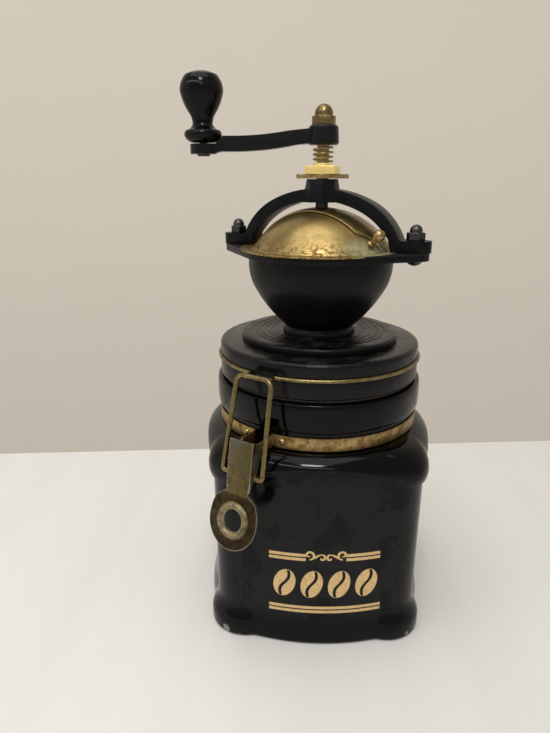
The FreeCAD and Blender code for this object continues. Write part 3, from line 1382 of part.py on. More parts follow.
def biarc(start, start_heading, stop, stop_heading):
    """Two tangent arcs from one point and heading to another."""
    across = stop - start
    both = start_heading + stop_heading
    a = 2 - 2 * start_heading.dot(stop_heading)
    b = 2 * across.dot(both)
    reach = (-b + math.sqrt(b * b + 4 * a * across.dot(across))) / (2 * a)
    first = start + start_heading * reach
    second = stop - stop_heading * reach
    middle = (first + second) * 0.5
    arcs = []
    for begin, corner, end in ((start, first, middle), (middle, second, stop)):
        chord_middle = (begin + end) * 0.5
        cosine = (end - begin).Length / 2 / reach
        through = chord_middle + (corner - chord_middle) * (cosine / (1 + cosine))
        arcs.append(Part.Arc(begin, through, end).toShape())
    return arcs


def crank():
    """Crank along -X: round hub, bent arm and the round seat of the knob."""
    edge = D.hub_chamfer
    hub = turned_body("crank_hub", [
        (0, hub_bottom), (D.hub_radius - edge, hub_bottom), (D.hub_radius, hub_bottom + edge),
        (D.hub_radius - 0.5, hub_top - edge), (D.hub_radius - 0.5 - edge, hub_top), (0, hub_top)])
    depth = D.arm_depth
    seat_start = D.crank_reach - D.grip_collar
    arm = slab("crank_bar", "XZ", [
        (-D.hub_radius * 0.4, hub_top - 1.3), (-D.hub_radius * 0.4, hub_bottom + 0.6),
        (-D.hub_radius * 2.2, hub_bottom - 0.7, -60.0), (-seat_start, hub_bottom - 3.0, 170.0),
        (-D.crank_reach, seat_bottom, 40.0), (-D.crank_reach, seat_top),
        (-seat_start - 3.0, seat_top + 0.1), (-seat_start + 0.9, hub_bottom - 3.0 + depth),
        (-D.hub_radius * 2.2, hub_bottom - 0.7 + depth, -170.0)], D.arm_width, symmetric=True)
    seat = cylinder("crank_seat", D.seat_radius, D.seat_thickness, -D.crank_reach, 0, seat_bottom)
    half = D.square_side * 0.5 + 0.02
    square = slab("crank_square", "XY", square_outline(half), D.hub_height + 10, lift=hub_bottom - 5)
    bore = cylinder("crank_pin_bore", D.grip_pin + 0.01, 30, -D.crank_reach, 0, seat_bottom - 10)
    return cut("crank_arm", fuse("crank_solid", hub, arm, seat), square, bore)


def grip():
    """Turned knob: collar, waist and bulb on a blind bore."""
    base = D.grip_radius * 0.42
    waist_level = grip_bottom + D.grip_height * 0.268
    bulb_level = grip_bottom + D.grip_height * 0.72
    collar_level = grip_bottom + D.grip_height * 0.113
    top = grip_bottom + D.grip_height
    crown = D.grip_radius * 0.74
    drop = D.grip_radius * 0.18
    bore = D.grip_pin + D.running_fit
    made = turned_body("knob", [
        (bore, grip_bottom), (base, grip_bottom), (D.grip_collar, collar_level, -5.2),
        (D.grip_collar - 0.9, collar_level + 2.2, -3.0), (D.grip_waist, waist_level, 5.0),
        (D.grip_waist + 1.2, waist_level + 4.4, 9.0), (D.grip_radius, bulb_level, -27.0),
        (crown, top - drop, -D.grip_radius), (0, top, -(crown * crown + drop * drop) / (drop * 2)),
        (0, top - D.grip_height * 0.38),
        (bore, top - D.grip_height * 0.4)])
    place(made, -D.crank_reach, 0, 0)
    return made


def grip_rod():
    """Knob pin riveted under the seat."""
    made = turned_body("knob_pin", [
        (0, seat_bottom - 1.1), (D.grip_pin + 0.9, seat_bottom - 1.1), (D.grip_pin + 1.4, seat_bottom - 0.5),
        (D.grip_pin + 1.4, seat_bottom), (D.grip_pin, seat_bottom),
        (D.grip_pin, grip_bottom + D.grip_height * 0.57), (0, grip_bottom + D.grip_height * 0.6)])
    place(made, -D.crank_reach, 0, 0)
    return made


locking_plate = slab(
    "locking_plate", "XY", eye_outline(D.plate_body, D.plate_reach, D.plate_end), D.plate_thickness,
    lift=plate_bottom, holes=[(0, 0, spindle_bore)])
nut_square = slab("nut_square", "XY", square_outline(D.nut_side * 0.5), D.nut_height, lift=nut_bottom)
nut_round = cylinder("nut_round", D.nut_side * 0.66, D.nut_height, 0, 0, nut_bottom)
nut_neck = cylinder("nut_neck", D.nut_collar, D.nut_height + D.nut_collar_height, 0, 0, nut_bottom)
nut_bore = cylinder("nut_bore", spindle_bore, D.nut_height * 3, 0, 0, nut_bottom - 2)
adjusting_nut = turn(cut(
    "adjusting_nut", fuse("nut_solid", common("nut_eased", nut_square, nut_round), nut_neck), nut_bore),
    D.nut_turn)
spring = coil()
crank_arm = crank()
crank_nut = cap_nut(
    "crank_nut", D.top_nut, D.top_nut_height, D.top_nut_dome, D.thread_radius + 0.02, D.top_nut_height + 2.8,
    hub_top)
knob = grip()
knob_pin = grip_rod()

NODES = [
    canister, neck_strap, strap_rivets, hinge_bracket, hinge_rivets, clasp_lever, lever_pin, clasp_loop,
    bail_wire, lid_board, lid_plug, lid_gasket, turned_disc, hopper_bowl, mill_screws, bearing_spider,
    burr_ring, burr_cone, drive_shaft, boss_bush, dome_cover, dome_door, door_knob, bridge, bridge_bolts,
    bridge_nuts, locking_plate, adjusting_nut, spring, crank_arm, crank_nut, knob_pin, knob]

doc.recompute()
for item in doc.Objects:
    if "Invalid" in item.State or "Error" in item.State:
        raise RuntimeError("%s failed: %s" % (item.Name, item.State))
for node in NODES:
    if node.Shape.isNull() or not node.Shape.isValid() or not node.Shape.Solids:
        raise RuntimeError("%s has no valid solid" % node.Label)

os.makedirs("parts", exist_ok=True)
for node in NODES:
    node.Shape.exportStep("parts/%s.step" % node.Label)
print("%d pieces written" % len(NODES))
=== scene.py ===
"""Looks for a hand-cranked coffee mill on a clamp-lid canister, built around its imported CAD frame.

Sizes are millimetres here and metres in Blender. Places come from the frame's node boxes where a
node has them. Each sub-assembly is a class with a ``build`` method for its shapes and a ``dress``
method for its finishes.
"""

import logging
import math
from dataclasses import dataclass
from enum import Enum
from typing import Callable, Iterable, Optional, Sequence, Union

import bmesh
import bpy
from mathutils import Matrix, Vector

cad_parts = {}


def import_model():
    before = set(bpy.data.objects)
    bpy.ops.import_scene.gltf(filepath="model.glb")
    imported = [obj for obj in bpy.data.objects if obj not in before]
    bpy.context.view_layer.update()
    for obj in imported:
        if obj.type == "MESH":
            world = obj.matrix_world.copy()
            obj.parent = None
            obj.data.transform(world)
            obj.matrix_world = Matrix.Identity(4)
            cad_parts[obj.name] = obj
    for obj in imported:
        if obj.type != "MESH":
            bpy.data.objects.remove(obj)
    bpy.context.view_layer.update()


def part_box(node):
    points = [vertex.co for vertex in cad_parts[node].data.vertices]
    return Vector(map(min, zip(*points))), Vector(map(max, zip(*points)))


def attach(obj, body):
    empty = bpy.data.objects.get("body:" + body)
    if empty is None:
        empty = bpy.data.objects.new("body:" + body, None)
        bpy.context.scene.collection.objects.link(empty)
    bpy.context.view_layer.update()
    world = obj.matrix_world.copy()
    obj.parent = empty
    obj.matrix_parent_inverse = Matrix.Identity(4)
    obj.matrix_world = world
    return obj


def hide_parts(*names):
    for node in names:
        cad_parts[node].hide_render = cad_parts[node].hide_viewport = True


MM = 0.001
LOG = logging.getLogger("coffee_mill")
Colour = tuple[float, float, float]
Place = tuple[float, float, float]
Point = tuple[float, float]
Ring = Callable[[float], Point]
Socket = bpy.types.NodeSocket
Value = Union[Socket, Colour, float]
QUARTER = math.pi / 2

# Millimetres under which points are welded, and degrees under which faces count as one flat face
WELD = 0.002
FLAT_ANGLE = 0.6


class Axis(Enum):
    """Directions that a gradient can follow."""

    X = "X"
    Y = "Y"
    Z = "Z"


# Shader building


class Shader:
    """Builds one material's node tree around a Principled shader."""

    def __init__(self, name: str) -> None:
        """Start an empty material.

        Args:
            name: The material's name.
        """
        self.material = bpy.data.materials.new(name)
        self.material.use_nodes = True
        self.tree = self.material.node_tree
        self.surface = self.tree.nodes["Principled BSDF"]
        self.coords = self.tree.nodes.new("ShaderNodeTexCoord").outputs["Object"]

    def node(self, kind: str, **properties: Union[str, int, bool]) -> bpy.types.Node:
        """Add a node.

        Args:
            kind: Blender's node type.
            properties: Node properties to set.

        Returns:
            The new node.
        """
        made = self.tree.nodes.new(kind)
        for key, value in properties.items():
            setattr(made, key, value)
        return made

    def feed(self, socket: Socket, value: Value) -> None:
        """Link a socket to another, or set its value.

        Args:
            socket: The input to fill.
            value: A socket to link, or a number or colour to set.
        """
        if isinstance(value, Socket):
            self.tree.links.new(value, socket)
        elif hasattr(value, "__len__") and len(value) == 3 and len(socket.default_value) == 4:
            socket.default_value = (*value, 1.0)
        else:
            socket.default_value = value

    def set(self, **inputs: Value) -> None:
        """Set or link inputs of the Principled shader, with underscores for spaces."""
        for key, value in inputs.items():
            self.feed(self.surface.inputs[key.replace("_", " ")], value)

    def stretched(self, x: float = 1.0, y: float = 1.0, z: float = 1.0) -> Socket:
        """Object coordinates scaled along each axis.

        Args:
            x: Scale along X.
            y: Scale along Y.
            z: Scale along Z.

        Returns:
            The coordinates' socket.
        """
        mapping = self.node("ShaderNodeMapping")
        mapping.inputs["Scale"].default_value = (x, y, z)
        self.feed(mapping.inputs["Vector"], self.coords)
        return mapping.outputs["Vector"]

    def noise(self, size: float, detail: float = 3.0, rough: float = 0.5, warp: float = 0.0,
              vector: Optional[Socket] = None) -> Socket:
        """Noise whose patches are about ``size`` millimetres across.

        Args:
            size: Patch size.
            detail: Octaves.
            rough: How strong the finer octaves are.
            warp: Distortion.
            vector: Coordinates, or None for the object's own.

        Returns:
            The noise value's socket.
        """
        made = self.node("ShaderNodeTexNoise")
        self.feed(made.inputs["Vector"], vector or self.coords)
        made.inputs["Scale"].default_value = 1 / (size * MM)
        made.inputs["Detail"].default_value = detail
        made.inputs["Roughness"].default_value = rough
        made.inputs["Distortion"].default_value = warp
        return made.outputs["Fac"]

    def cells(self, size: float) -> Socket:
        """Distance to the middle of cells about ``size`` millimetres across.

        Args:
            size: Width of a cell.

        Returns:
            The distance's socket.
        """
        made = self.node("ShaderNodeTexVoronoi")
        self.feed(made.inputs["Vector"], self.coords)
        made.inputs["Scale"].default_value = 1 / (size * MM)
        return made.outputs["Distance"]

    def ramp(self, value: Value, *stops: Point) -> Socket:
        """Ramp of greys.

        Args:
            value: Where on the ramp.
            stops: Pairs of place and grey, in rising order.

        Returns:
            The grey's socket.
        """
        made = self.node("ShaderNodeValToRGB")
        band = made.color_ramp
        while len(band.elements) < len(stops):
            band.elements.new(0.5)
        for element, (place, grey) in zip(band.elements, stops):
            element.position = place
            element.color = (grey, grey, grey, 1.0)
        self.feed(made.inputs["Fac"], value)
        return made.outputs["Color"]

    def calc(self, operation: str, a: Value, b: Value = 0.0, clamp: bool = False) -> Socket:
        """One step of arithmetic.

        Args:
            operation: Blender's name for it.
            a: First number.
            b: Second number.
            clamp: Keep the result between 0 and 1.

        Returns:
            The result's socket.
        """
        made = self.node("ShaderNodeMath", operation=operation, use_clamp=clamp)
        for socket, value in zip(made.inputs, (a, b)):
            self.feed(socket, value)
        return made.outputs["Value"]

    def mix(self, share: Value, a: Value, b: Value) -> Socket:
        """Mix two colours.

        Args:
            share: How much of the second.
            a: First colour.
            b: Second colour.

        Returns:
            The mixed colour's socket.
        """
        made = self.node("ShaderNodeMix", data_type="RGBA")
        for index, value in ((0, share), (6, a), (7, b)):
            self.feed(made.inputs[index], value)
        return made.outputs[2]

    def between(self, share: Value, low: Value, high: Value) -> Socket:
        """Mix two numbers.

        Args:
            share: How much of the second.
            low: First number.
            high: Second number.

        Returns:
            The mixed number's socket.
        """
        made = self.node("ShaderNodeMix", data_type="FLOAT")
        for index, value in ((0, share), (2, low), (3, high)):
            self.feed(made.inputs[index], value)
        return made.outputs[0]

    def part_of(self, axis: Axis) -> Socket:
        """One object coordinate in metres.

        Args:
            axis: Which coordinate.

        Returns:
            Its socket.
        """
        split = self.node("ShaderNodeSeparateXYZ")
        self.feed(split.inputs["Vector"], self.coords)
        return split.outputs[axis.value]

    def slope(self, value: Value, low: float, high: float) -> Socket:
        """0 at ``low`` and below, 1 at ``high`` and above, smooth between.

        Args:
            value: What is measured.
            low: Where the mask starts.
            high: Where it is full.

        Returns:
            The mask's socket.
        """
        made = self.node("ShaderNodeMapRange", interpolation_type="SMOOTHSTEP")
        self.feed(made.inputs["Value"], value)
        made.inputs["From Min"].default_value = low
        made.inputs["From Max"].default_value = high
        return made.outputs["Result"]

    def reach(self) -> Socket:
        """Distance from the Z axis in metres.

        Returns:
            Its socket.
        """
        x, y = self.part_of(Axis.X), self.part_of(Axis.Y)
        return self.calc("SQRT", self.calc("ADD", self.calc("MULTIPLY", x, x), self.calc("MULTIPLY", y, y)))

    def spot(self, centre: Place, radius: float, soft: float = 0.35, squash: Place = (1, 1, 1),
             ragged: float = 0.0) -> Socket:
        """A soft round mask about a place.

        Args:
            centre: The place in millimetres.
            radius: Its radius in millimetres.
            soft: Share of the radius over which it fades.
            squash: Scale of the distance along each axis.
            ragged: How far noise pushes its edge, in millimetres.

        Returns:
            The mask's socket, 1 inside.
        """
        mapping = self.node("ShaderNodeMapping")
        mapping.inputs["Scale"].default_value = squash
        mapping.inputs["Location"].default_value = tuple(-c * MM * s for c, s in zip(centre, squash))
        self.feed(mapping.inputs["Vector"], self.coords)
        length = self.node("ShaderNodeVectorMath", operation="LENGTH")
        self.feed(length.inputs[0], mapping.outputs["Vector"])
        distance = length.outputs["Value"]
        if ragged:
            cloud = self.calc("SUBTRACT", self.noise(radius * 0.5, 5, 0.65), 0.5)
            push = self.calc("MULTIPLY", cloud, ragged * 2 * MM)
            distance = self.calc("ADD", distance, push)
        return self.calc("SUBTRACT", 1.0, self.slope(distance, radius * (1 - soft) * MM, radius * MM))

    def edges(self, width: float, low: float = 0.02, high: float = 0.5) -> Socket:
        """Mask of convex edges, found by comparing the bevelled normal with the true one.

        Args:
            width: Radius of the bevel in millimetres.
            low: Difference at which the mask starts.
            high: Difference at which it is full.

        Returns:
            The mask's socket.
        """
        bevel = self.node("ShaderNodeBevel", samples=6)
        bevel.inputs["Radius"].default_value = width * MM
        true = self.node("ShaderNodeNewGeometry").outputs["Normal"]
        dot = self.node("ShaderNodeVectorMath", operation="DOT_PRODUCT")
        self.feed(dot.inputs[0], bevel.outputs["Normal"])
        self.feed(dot.inputs[1], true)
        away = self.calc("SUBTRACT", 1.0, dot.outputs["Value"])
        return self.slope(away, low, high)

    def bump(self, *layers: tuple[Socket, float]) -> None:
        """Stack bump layers into the surface normal.

        Args:
            layers: Pairs of height socket and depth in millimetres.
        """
        normal = None
        for height, depth in layers:
            made = self.node("ShaderNodeBump")
            made.inputs["Strength"].default_value = 1.0
            made.inputs["Distance"].default_value = depth * MM
            self.feed(made.inputs["Height"], height)
            if normal is not None:
                self.feed(made.inputs["Normal"], normal)
            normal = made.outputs["Normal"]
        self.feed(self.surface.inputs["Normal"], normal)


# Finishes


@dataclass(frozen=True)
class Glaze:
    """Black gloss glaze: a painted grey reflection on the faces with darker patches free of it, faint pits
    and chips.
    """

    name: str = "glazed_stoneware"
    base: Colour = (0.0006, 0.0006, 0.0007)
    # Painted reflection: the grey that the flanks' gloss would show of the floor, put into the colour
    painted_reflection: Colour = (0.0072, 0.0082, 0.0088)
    clay: Colour = (0.36, 0.34, 0.335)
    patch_size: float = 17.0
    # Heights over which the painted reflection fades in above the foot and out below the shoulder
    reflection_foot: tuple[float, float] = (11.0, 19.0)
    reflection_top: tuple[float, float] = (96.0, 104.0)
    speck: Colour = (0.09, 0.088, 0.084)
    soot: Colour = (0.0006, 0.0006, 0.0006)
    # Side towards which the patches without painted reflection gather
    reflection_gap_side: tuple[float, float] = (0.008, 0.046)
    mark: Place = (-23.8, -59.2, 94.4)
    mark_radius: float = 4.4
    gloss: float = 0.07
    dull_mark: float = 0.34
    dull_clay: float = 0.85
    shine: float = 0.17
    pit_pitch: float = 7.5
    chips: tuple[tuple[float, float, float, float], ...] = (
        (-49.8, -56.8, 3.0, 2.7), (-41.5, -59.2, 0.9, 1.1),
        (51.2, -55.6, 2.6, 1.5), (46.0, -58.6, 1.0, 1.0))

    def painted_reflection_mask(self, shader: Shader) -> Socket:
        """Where the painted grey reflection lies: on the flanks, broken by mottled patches free of it, most
        of them to the right.

        Args:
            shader: The material being made.

        Returns:
            The mask's socket.
        """
        height = shader.part_of(Axis.Z)
        rise = shader.slope(height, self.reflection_foot[0] * MM, self.reflection_foot[1] * MM)
        fall = shader.slope(height, self.reflection_top[0] * MM, self.reflection_top[1] * MM)
        right = shader.slope(shader.part_of(Axis.X), *self.reflection_gap_side)
        cloud = shader.noise(self.patch_size, 7, 0.66, 0.5, shader.stretched(1.15, 1.0, 0.8))
        cloud = shader.calc("ADD", cloud, shader.calc("MULTIPLY", right, 0.075))
        patch = shader.ramp(cloud, (0.555, 0.0), (0.6, 1.0))
        flank = shader.calc("SUBTRACT", rise, fall, clamp=True)
        kept = shader.calc("SUBTRACT", 1.0, shader.calc("MULTIPLY", patch, 0.85))
        return shader.calc("MULTIPLY", flank, kept)

    def paint(self) -> bpy.types.Material:
        """Make the material.

        Returns:
            The material.
        """
        shader = Shader(self.name)
        painted_reflection = self.painted_reflection_mask(shader)
        haze = shader.ramp(shader.noise(46, 4, 0.55), (0.35, 0.0), (0.7, 1.0))
        mark = shader.spot(self.mark, self.mark_radius, 0.25, (0.72, 1.0, 1.5), 0.5)
        chip: Value = 0.0
        for x, y, z, radius in self.chips:
            chip = shader.calc("MAXIMUM", chip, shader.spot((x, y, z), radius, 0.12, ragged=radius * 0.4))
        # Painted reflection: grey mixed into the colour on the flanks
        colour = shader.mix(painted_reflection, self.base, self.painted_reflection)
        dust = shader.ramp(shader.noise(0.8, 3, 0.6), (0.735, 0.0), (0.76, 1.0))
        colour = shader.mix(shader.calc("MULTIPLY", dust, 0.5), colour, self.speck)
        colour = shader.mix(mark, colour, self.soot)
        grain = shader.mix(shader.noise(0.9, 4, 0.6), self.clay, tuple(v * 0.45 for v in self.clay))
        colour = shader.mix(chip, colour, grain)
        rough = shader.calc("ADD", self.gloss, shader.calc("MULTIPLY", haze, 0.05))
        rough = shader.calc("ADD", rough, shader.calc("MULTIPLY", painted_reflection, 0.07))
        rough = shader.between(mark, rough, self.dull_mark)
        rough = shader.between(chip, rough, self.dull_clay)
        shader.set(Base_Color=colour, Roughness=rough, IOR=1.52, Specular_IOR_Level=self.shine)
        pits = shader.ramp(shader.cells(self.pit_pitch), (0.0, 1.0), (0.045, 0.0))
        shader.bump(
            (shader.noise(20, 2, 0.5), 0.10), (shader.noise(4.2, 2, 0.5), 0.008), (pits, -0.05),
            (shader.calc("MULTIPLY", chip, shader.noise(0.8, 5, 0.7)), 0.35))
        return shader.material


@dataclass(frozen=True)
class GoldPrint:
    """Fired pale gold print, with a browner edge where it is thin."""

    name: str = "gold_print"
    base: Colour = (0.76, 0.53, 0.25)
    worn: Colour = (0.44, 0.27, 0.11)

    def paint(self) -> bpy.types.Material:
        """Make the material.

        Returns:
            The material.
        """
        shader = Shader(self.name)
        thin = shader.ramp(shader.noise(1.6, 5, 0.65), (0.42, 0.0), (0.7, 1.0))
        shader.set(Base_Color=shader.mix(shader.calc("MULTIPLY", thin, 0.55), self.base, self.worn),
                   Metallic=0.25, Roughness=shader.between(thin, 0.3, 0.5), IOR=1.5)
        shader.bump((shader.noise(0.5, 3, 0.6), 0.01))
        return shader.material


@dataclass(frozen=True)
class BlackWood:
    """Black painted wood: satin film, fine scratches, rubbed edges and chipped specks."""

    name: str
    base: Colour = (0.0034, 0.0034, 0.0037)
    worn: Colour = (0.30, 0.27, 0.24)
    gloss: float = 0.26
    shine: float = 0.22
    lathe: float = 0.0
    scratched: Colour = (0.05, 0.047, 0.043)
    dusty: Colour = (0.055, 0.052, 0.047)
    cracked: Colour = (0.001, 0.001, 0.001)
    crack_line: tuple[Point, ...] = ()

    def paint(self) -> bpy.types.Material:
        """Make the material.

        Returns:
            The material.
        """
        shader = Shader(self.name)
        scratch = shader.ramp(
            shader.noise(1.1, 3, 0.6, vector=shader.stretched(0.12, 1.0, 1.6)), (0.66, 0.0), (0.7, 1.0))
        across = shader.ramp(
            shader.noise(1.2, 3, 0.6, vector=shader.stretched(1.0, 0.14, 1.3)), (0.67, 0.0), (0.71, 1.0))
        scratch = shader.calc("MULTIPLY", shader.calc("MAXIMUM", scratch, across), 0.5)
        dust = shader.ramp(shader.noise(9, 5, 0.6), (0.45, 0.0), (0.75, 1.0))
        flat = self.facing_up(shader)
        worn = shader.ramp(shader.noise(1.8, 5, 0.75), (0.5, 0.0), (0.62, 1.0))
        worn = shader.calc("MULTIPLY", shader.edges(0.8, 0.01, 0.22), worn)
        nick = shader.ramp(shader.noise(1.3, 4, 0.6), (0.715, 0.0), (0.735, 1.0))
        colour = shader.mix(shader.calc("MULTIPLY", scratch, 0.7), self.base, self.scratched)
        settled = shader.calc("MULTIPLY", shader.calc("MULTIPLY", dust, flat), 0.35)
        colour = shader.mix(settled, colour, self.dusty)
        colour = shader.mix(shader.calc("MULTIPLY", worn, 0.65), colour, self.worn)
        colour = shader.mix(nick, colour, self.worn)
        rough = shader.between(dust, self.gloss, self.gloss + 0.16)
        rough = shader.between(worn, rough, 0.6)
        layers = [(shader.noise(14, 3, 0.5, vector=shader.stretched(0.35, 1, 1)), 0.05),
                  (shader.noise(0.8, 3, 0.6), 0.012), (scratch, -0.03), (nick, -0.12)]
        if self.lathe:
            rings = shader.calc("MULTIPLY", shader.reach(), 2 * math.pi / (self.lathe * MM))
            rings = shader.calc("SINE", rings)
            layers.append((shader.calc("MULTIPLY", rings, flat), 0.018))
        crack = self.crack_mask(shader)
        if crack is not None:
            colour = shader.mix(crack, colour, self.cracked)
            rough = shader.between(crack, rough, 0.9)
            layers.append((crack, -0.5))
        shader.set(Base_Color=colour, Roughness=rough, IOR=1.48, Specular_IOR_Level=self.shine)
        shader.bump(*layers)
        return shader.material

    @staticmethod
    def facing_up(shader: Shader) -> Socket:
        """Mask of surfaces that face up.

        Args:
            shader: The material being made.

        Returns:
            The mask's socket.
        """
        split = shader.node("ShaderNodeSeparateXYZ")
        facing = shader.node("ShaderNodeNewGeometry").outputs["True Normal"]
        shader.feed(split.inputs["Vector"], facing)
        return shader.slope(split.outputs["Z"], 0.5, 0.95)

    def crack_mask(self, shader: Shader) -> Optional[Socket]:
        """Mask of the drying crack along the given line.

        Args:
            shader: The material being made.

        Returns:
            The mask's socket, or None where the wood has no crack.
        """
        if not self.crack_line:
            return None
        (x0, y0), (x1, y1) = self.crack_line
        length = math.hypot(x1 - x0, y1 - y0)
        ux, uy = (x1 - x0) / length, (y1 - y0) / length
        x = shader.calc("SUBTRACT", shader.part_of(Axis.X), x0 * MM)
        y = shader.calc("SUBTRACT", shader.part_of(Axis.Y), y0 * MM)
        along = shader.calc("ADD", shader.calc("MULTIPLY", x, ux), shader.calc("MULTIPLY", y, uy))
        aside = shader.calc("ADD", shader.calc("MULTIPLY", x, -uy), shader.calc("MULTIPLY", y, ux))
        wander = shader.calc("MULTIPLY", shader.calc("SUBTRACT", shader.noise(7, 5, 0.65), 0.5), 0.0042)
        aside = shader.calc("ABSOLUTE", shader.calc("ADD", aside, wander))
        thin = shader.calc("SUBTRACT", 1.0, shader.slope(aside, 0.00012, 0.0003))
        before_end = shader.calc("SUBTRACT", 1.0, shader.slope(along, (length - 1) * MM, length * MM))
        inside = shader.calc("MULTIPLY", shader.slope(along, 0.0, 0.001), before_end)
        return shader.calc("MULTIPLY", thin, inside)


@dataclass(frozen=True)
class Enamel:
    """Black enamel or lacquer over a casting or a turning."""

    name: str
    base: Colour = (0.0032, 0.0033, 0.0038)
    worn: Colour = (0.11, 0.10, 0.09)
    gloss: float = 0.33
    shine: float = 0.15
    grain: float = 0.02
    wave: float = 0.04
    wear: float = 0.5

    def paint(self) -> bpy.types.Material:
        """Make the material.

        Returns:
            The material.
        """
        shader = Shader(self.name)
        dust = shader.ramp(shader.noise(11, 5, 0.6), (0.4, 0.0), (0.75, 1.0))
        worn = shader.ramp(shader.noise(1.8, 5, 0.7), (0.45, 0.0), (0.66, 1.0))
        worn = shader.calc("MULTIPLY", shader.edges(0.35, 0.03, 0.5), worn)
        speck = shader.ramp(shader.noise(1.0, 2, 0.5), (0.74, 0.0), (0.77, 1.0))
        colour = shader.mix(shader.calc("MULTIPLY", dust, 0.3), self.base, tuple(v * 3.2 for v in self.base))
        colour = shader.mix(shader.calc("MULTIPLY", worn, self.wear), colour, self.worn)
        colour = shader.mix(shader.calc("MULTIPLY", speck, 0.4), colour, self.worn)
        rough = shader.between(dust, self.gloss, self.gloss + 0.12)
        shader.set(Base_Color=colour, Roughness=shader.between(worn, rough, 0.55), IOR=1.5,
                   Specular_IOR_Level=self.shine)
        shader.bump((shader.noise(6, 3, 0.5), self.wave), (shader.noise(0.7, 3, 0.55), self.grain))
        return shader.material


@dataclass(frozen=True)
class Metal:
    """Bare or plated metal with tarnish in patches, spots and brighter edges."""

    name: str
    base: Colour
    dark: Colour
    bright: Colour
    rough: float = 0.3
    patina: float = 0.5
    patch_size: float = 6.0
    spots: float = 0.4
    spot_colour: Colour = (0.06, 0.035, 0.015)
    edge: float = 0.5
    scratch: float = 0.4
    metallic: float = 1.0

    def layers(self, shader: Shader) -> tuple[Socket, Socket, list[tuple[Socket, float]]]:
        """Colour, roughness and bump of the bare metal.

        Args:
            shader: The material being made.

        Returns:
            The colour's and the roughness's socket, and bump layers.
        """
        cloud = shader.noise(self.patch_size, 6, 0.62, 0.5)
        tarnish = shader.calc("MULTIPLY", shader.ramp(cloud, (0.42, 0.0), (0.66, 1.0)), self.patina)
        fine = shader.noise(0.9, 4, 0.65)
        spot = shader.ramp(shader.noise(1.7, 4, 0.6), (0.6, 0.0), (0.68, 1.0))
        spot = shader.calc("MULTIPLY", spot, self.spots)
        line = shader.noise(0.55, 2, 0.5, vector=shader.stretched(0.08, 1.0, 1.0))
        line = shader.calc("MULTIPLY", shader.ramp(line, (0.64, 0.0), (0.7, 1.0)), self.scratch)
        rim = shader.calc("MULTIPLY", shader.edges(0.3, 0.03, 0.45), self.edge)
        colour = shader.mix(tarnish, self.base, self.dark)
        colour = shader.mix(shader.calc("MULTIPLY", fine, 0.3), colour, self.dark)
        colour = shader.mix(shader.calc("MULTIPLY", line, 0.5), colour, self.bright)
        colour = shader.mix(spot, colour, self.spot_colour)
        colour = shader.mix(rim, colour, self.bright)
        rough = shader.calc("ADD", self.rough, shader.calc("MULTIPLY", tarnish, 0.25))
        rough = shader.calc("ADD", rough, shader.calc("MULTIPLY", spot, 0.3), clamp=True)
        return colour, rough, [(shader.noise(2.4, 4, 0.6), 0.02), (line, -0.008), (spot, -0.03)]

    def paint(self) -> bpy.types.Material:
        """Make the material.

        Returns:
            The material.
        """
        shader = Shader(self.name)
        colour, rough, bumps = self.layers(shader)
        shader.set(Base_Color=colour, Roughness=rough, Metallic=self.metallic)
        shader.bump(*bumps)
        return shader.material


@dataclass(frozen=True)
class DomeBrass(Metal):
    """Aged brass: brown spots low on the rim, pale green on one side, ears black beyond the rim."""

    rim_level: float = 207.0
    green: Colour = (0.52, 0.56, 0.36)
    green_place: Place = (26.0, -30.0, 209.0)
    green_reach: float = 15.0
    rim_reach: float = 43.1
    ear_black: Colour = (0.006, 0.006, 0.0065)

    def paint(self) -> bpy.types.Material:
        """Make the material.

        Returns:
            The material.
        """
        shader = Shader(self.name)
        colour, rough, bumps = self.layers(shader)
        height = shader.part_of(Axis.Z)
        low = shader.slope(height, self.rim_level * MM, (self.rim_level + 8.5) * MM)
        low = shader.calc("SUBTRACT", 1.0, low)
        brown = shader.ramp(shader.noise(2.4, 6, 0.7, 0.3), (0.49, 0.0), (0.57, 1.0))
        brown = shader.calc("MULTIPLY", shader.calc("MULTIPLY", brown, low), 0.85)
        # Painted shade: the upper dome is darkened by height
        high = shader.slope(height, (self.rim_level + 9) * MM, (self.rim_level + 20) * MM)
        colour = shader.mix(shader.calc("MULTIPLY", high, 0.6), colour, self.dark)
        colour = shader.mix(brown, colour, self.spot_colour)
        green = shader.spot(self.green_place, self.green_reach, 0.7, (0.7, 0.7, 2.6), 5.0)
        broken = shader.ramp(shader.noise(2.2, 5, 0.6), (0.3, 0.35), (0.6, 1.0))
        green = shader.calc("MULTIPLY", shader.calc("MULTIPLY", green, 0.75), broken)
        colour = shader.mix(green, colour, self.green)
        rough = shader.between(brown, rough, 0.62)
        rough = shader.between(green, rough, 0.6)
        # The ears beyond the rim's reach are black
        black = shader.slope(shader.reach(), self.rim_reach * MM, (self.rim_reach + 0.3) * MM)
        colour = shader.mix(black, colour, self.ear_black)
        rough = shader.between(black, rough, 0.5)
        metal = shader.between(shader.calc("MAXIMUM", green, black), self.metallic, 0.45)
        shader.set(Base_Color=colour, Roughness=rough, Metallic=metal)
        shader.bump(*bumps, (brown, -0.03))
        return shader.material


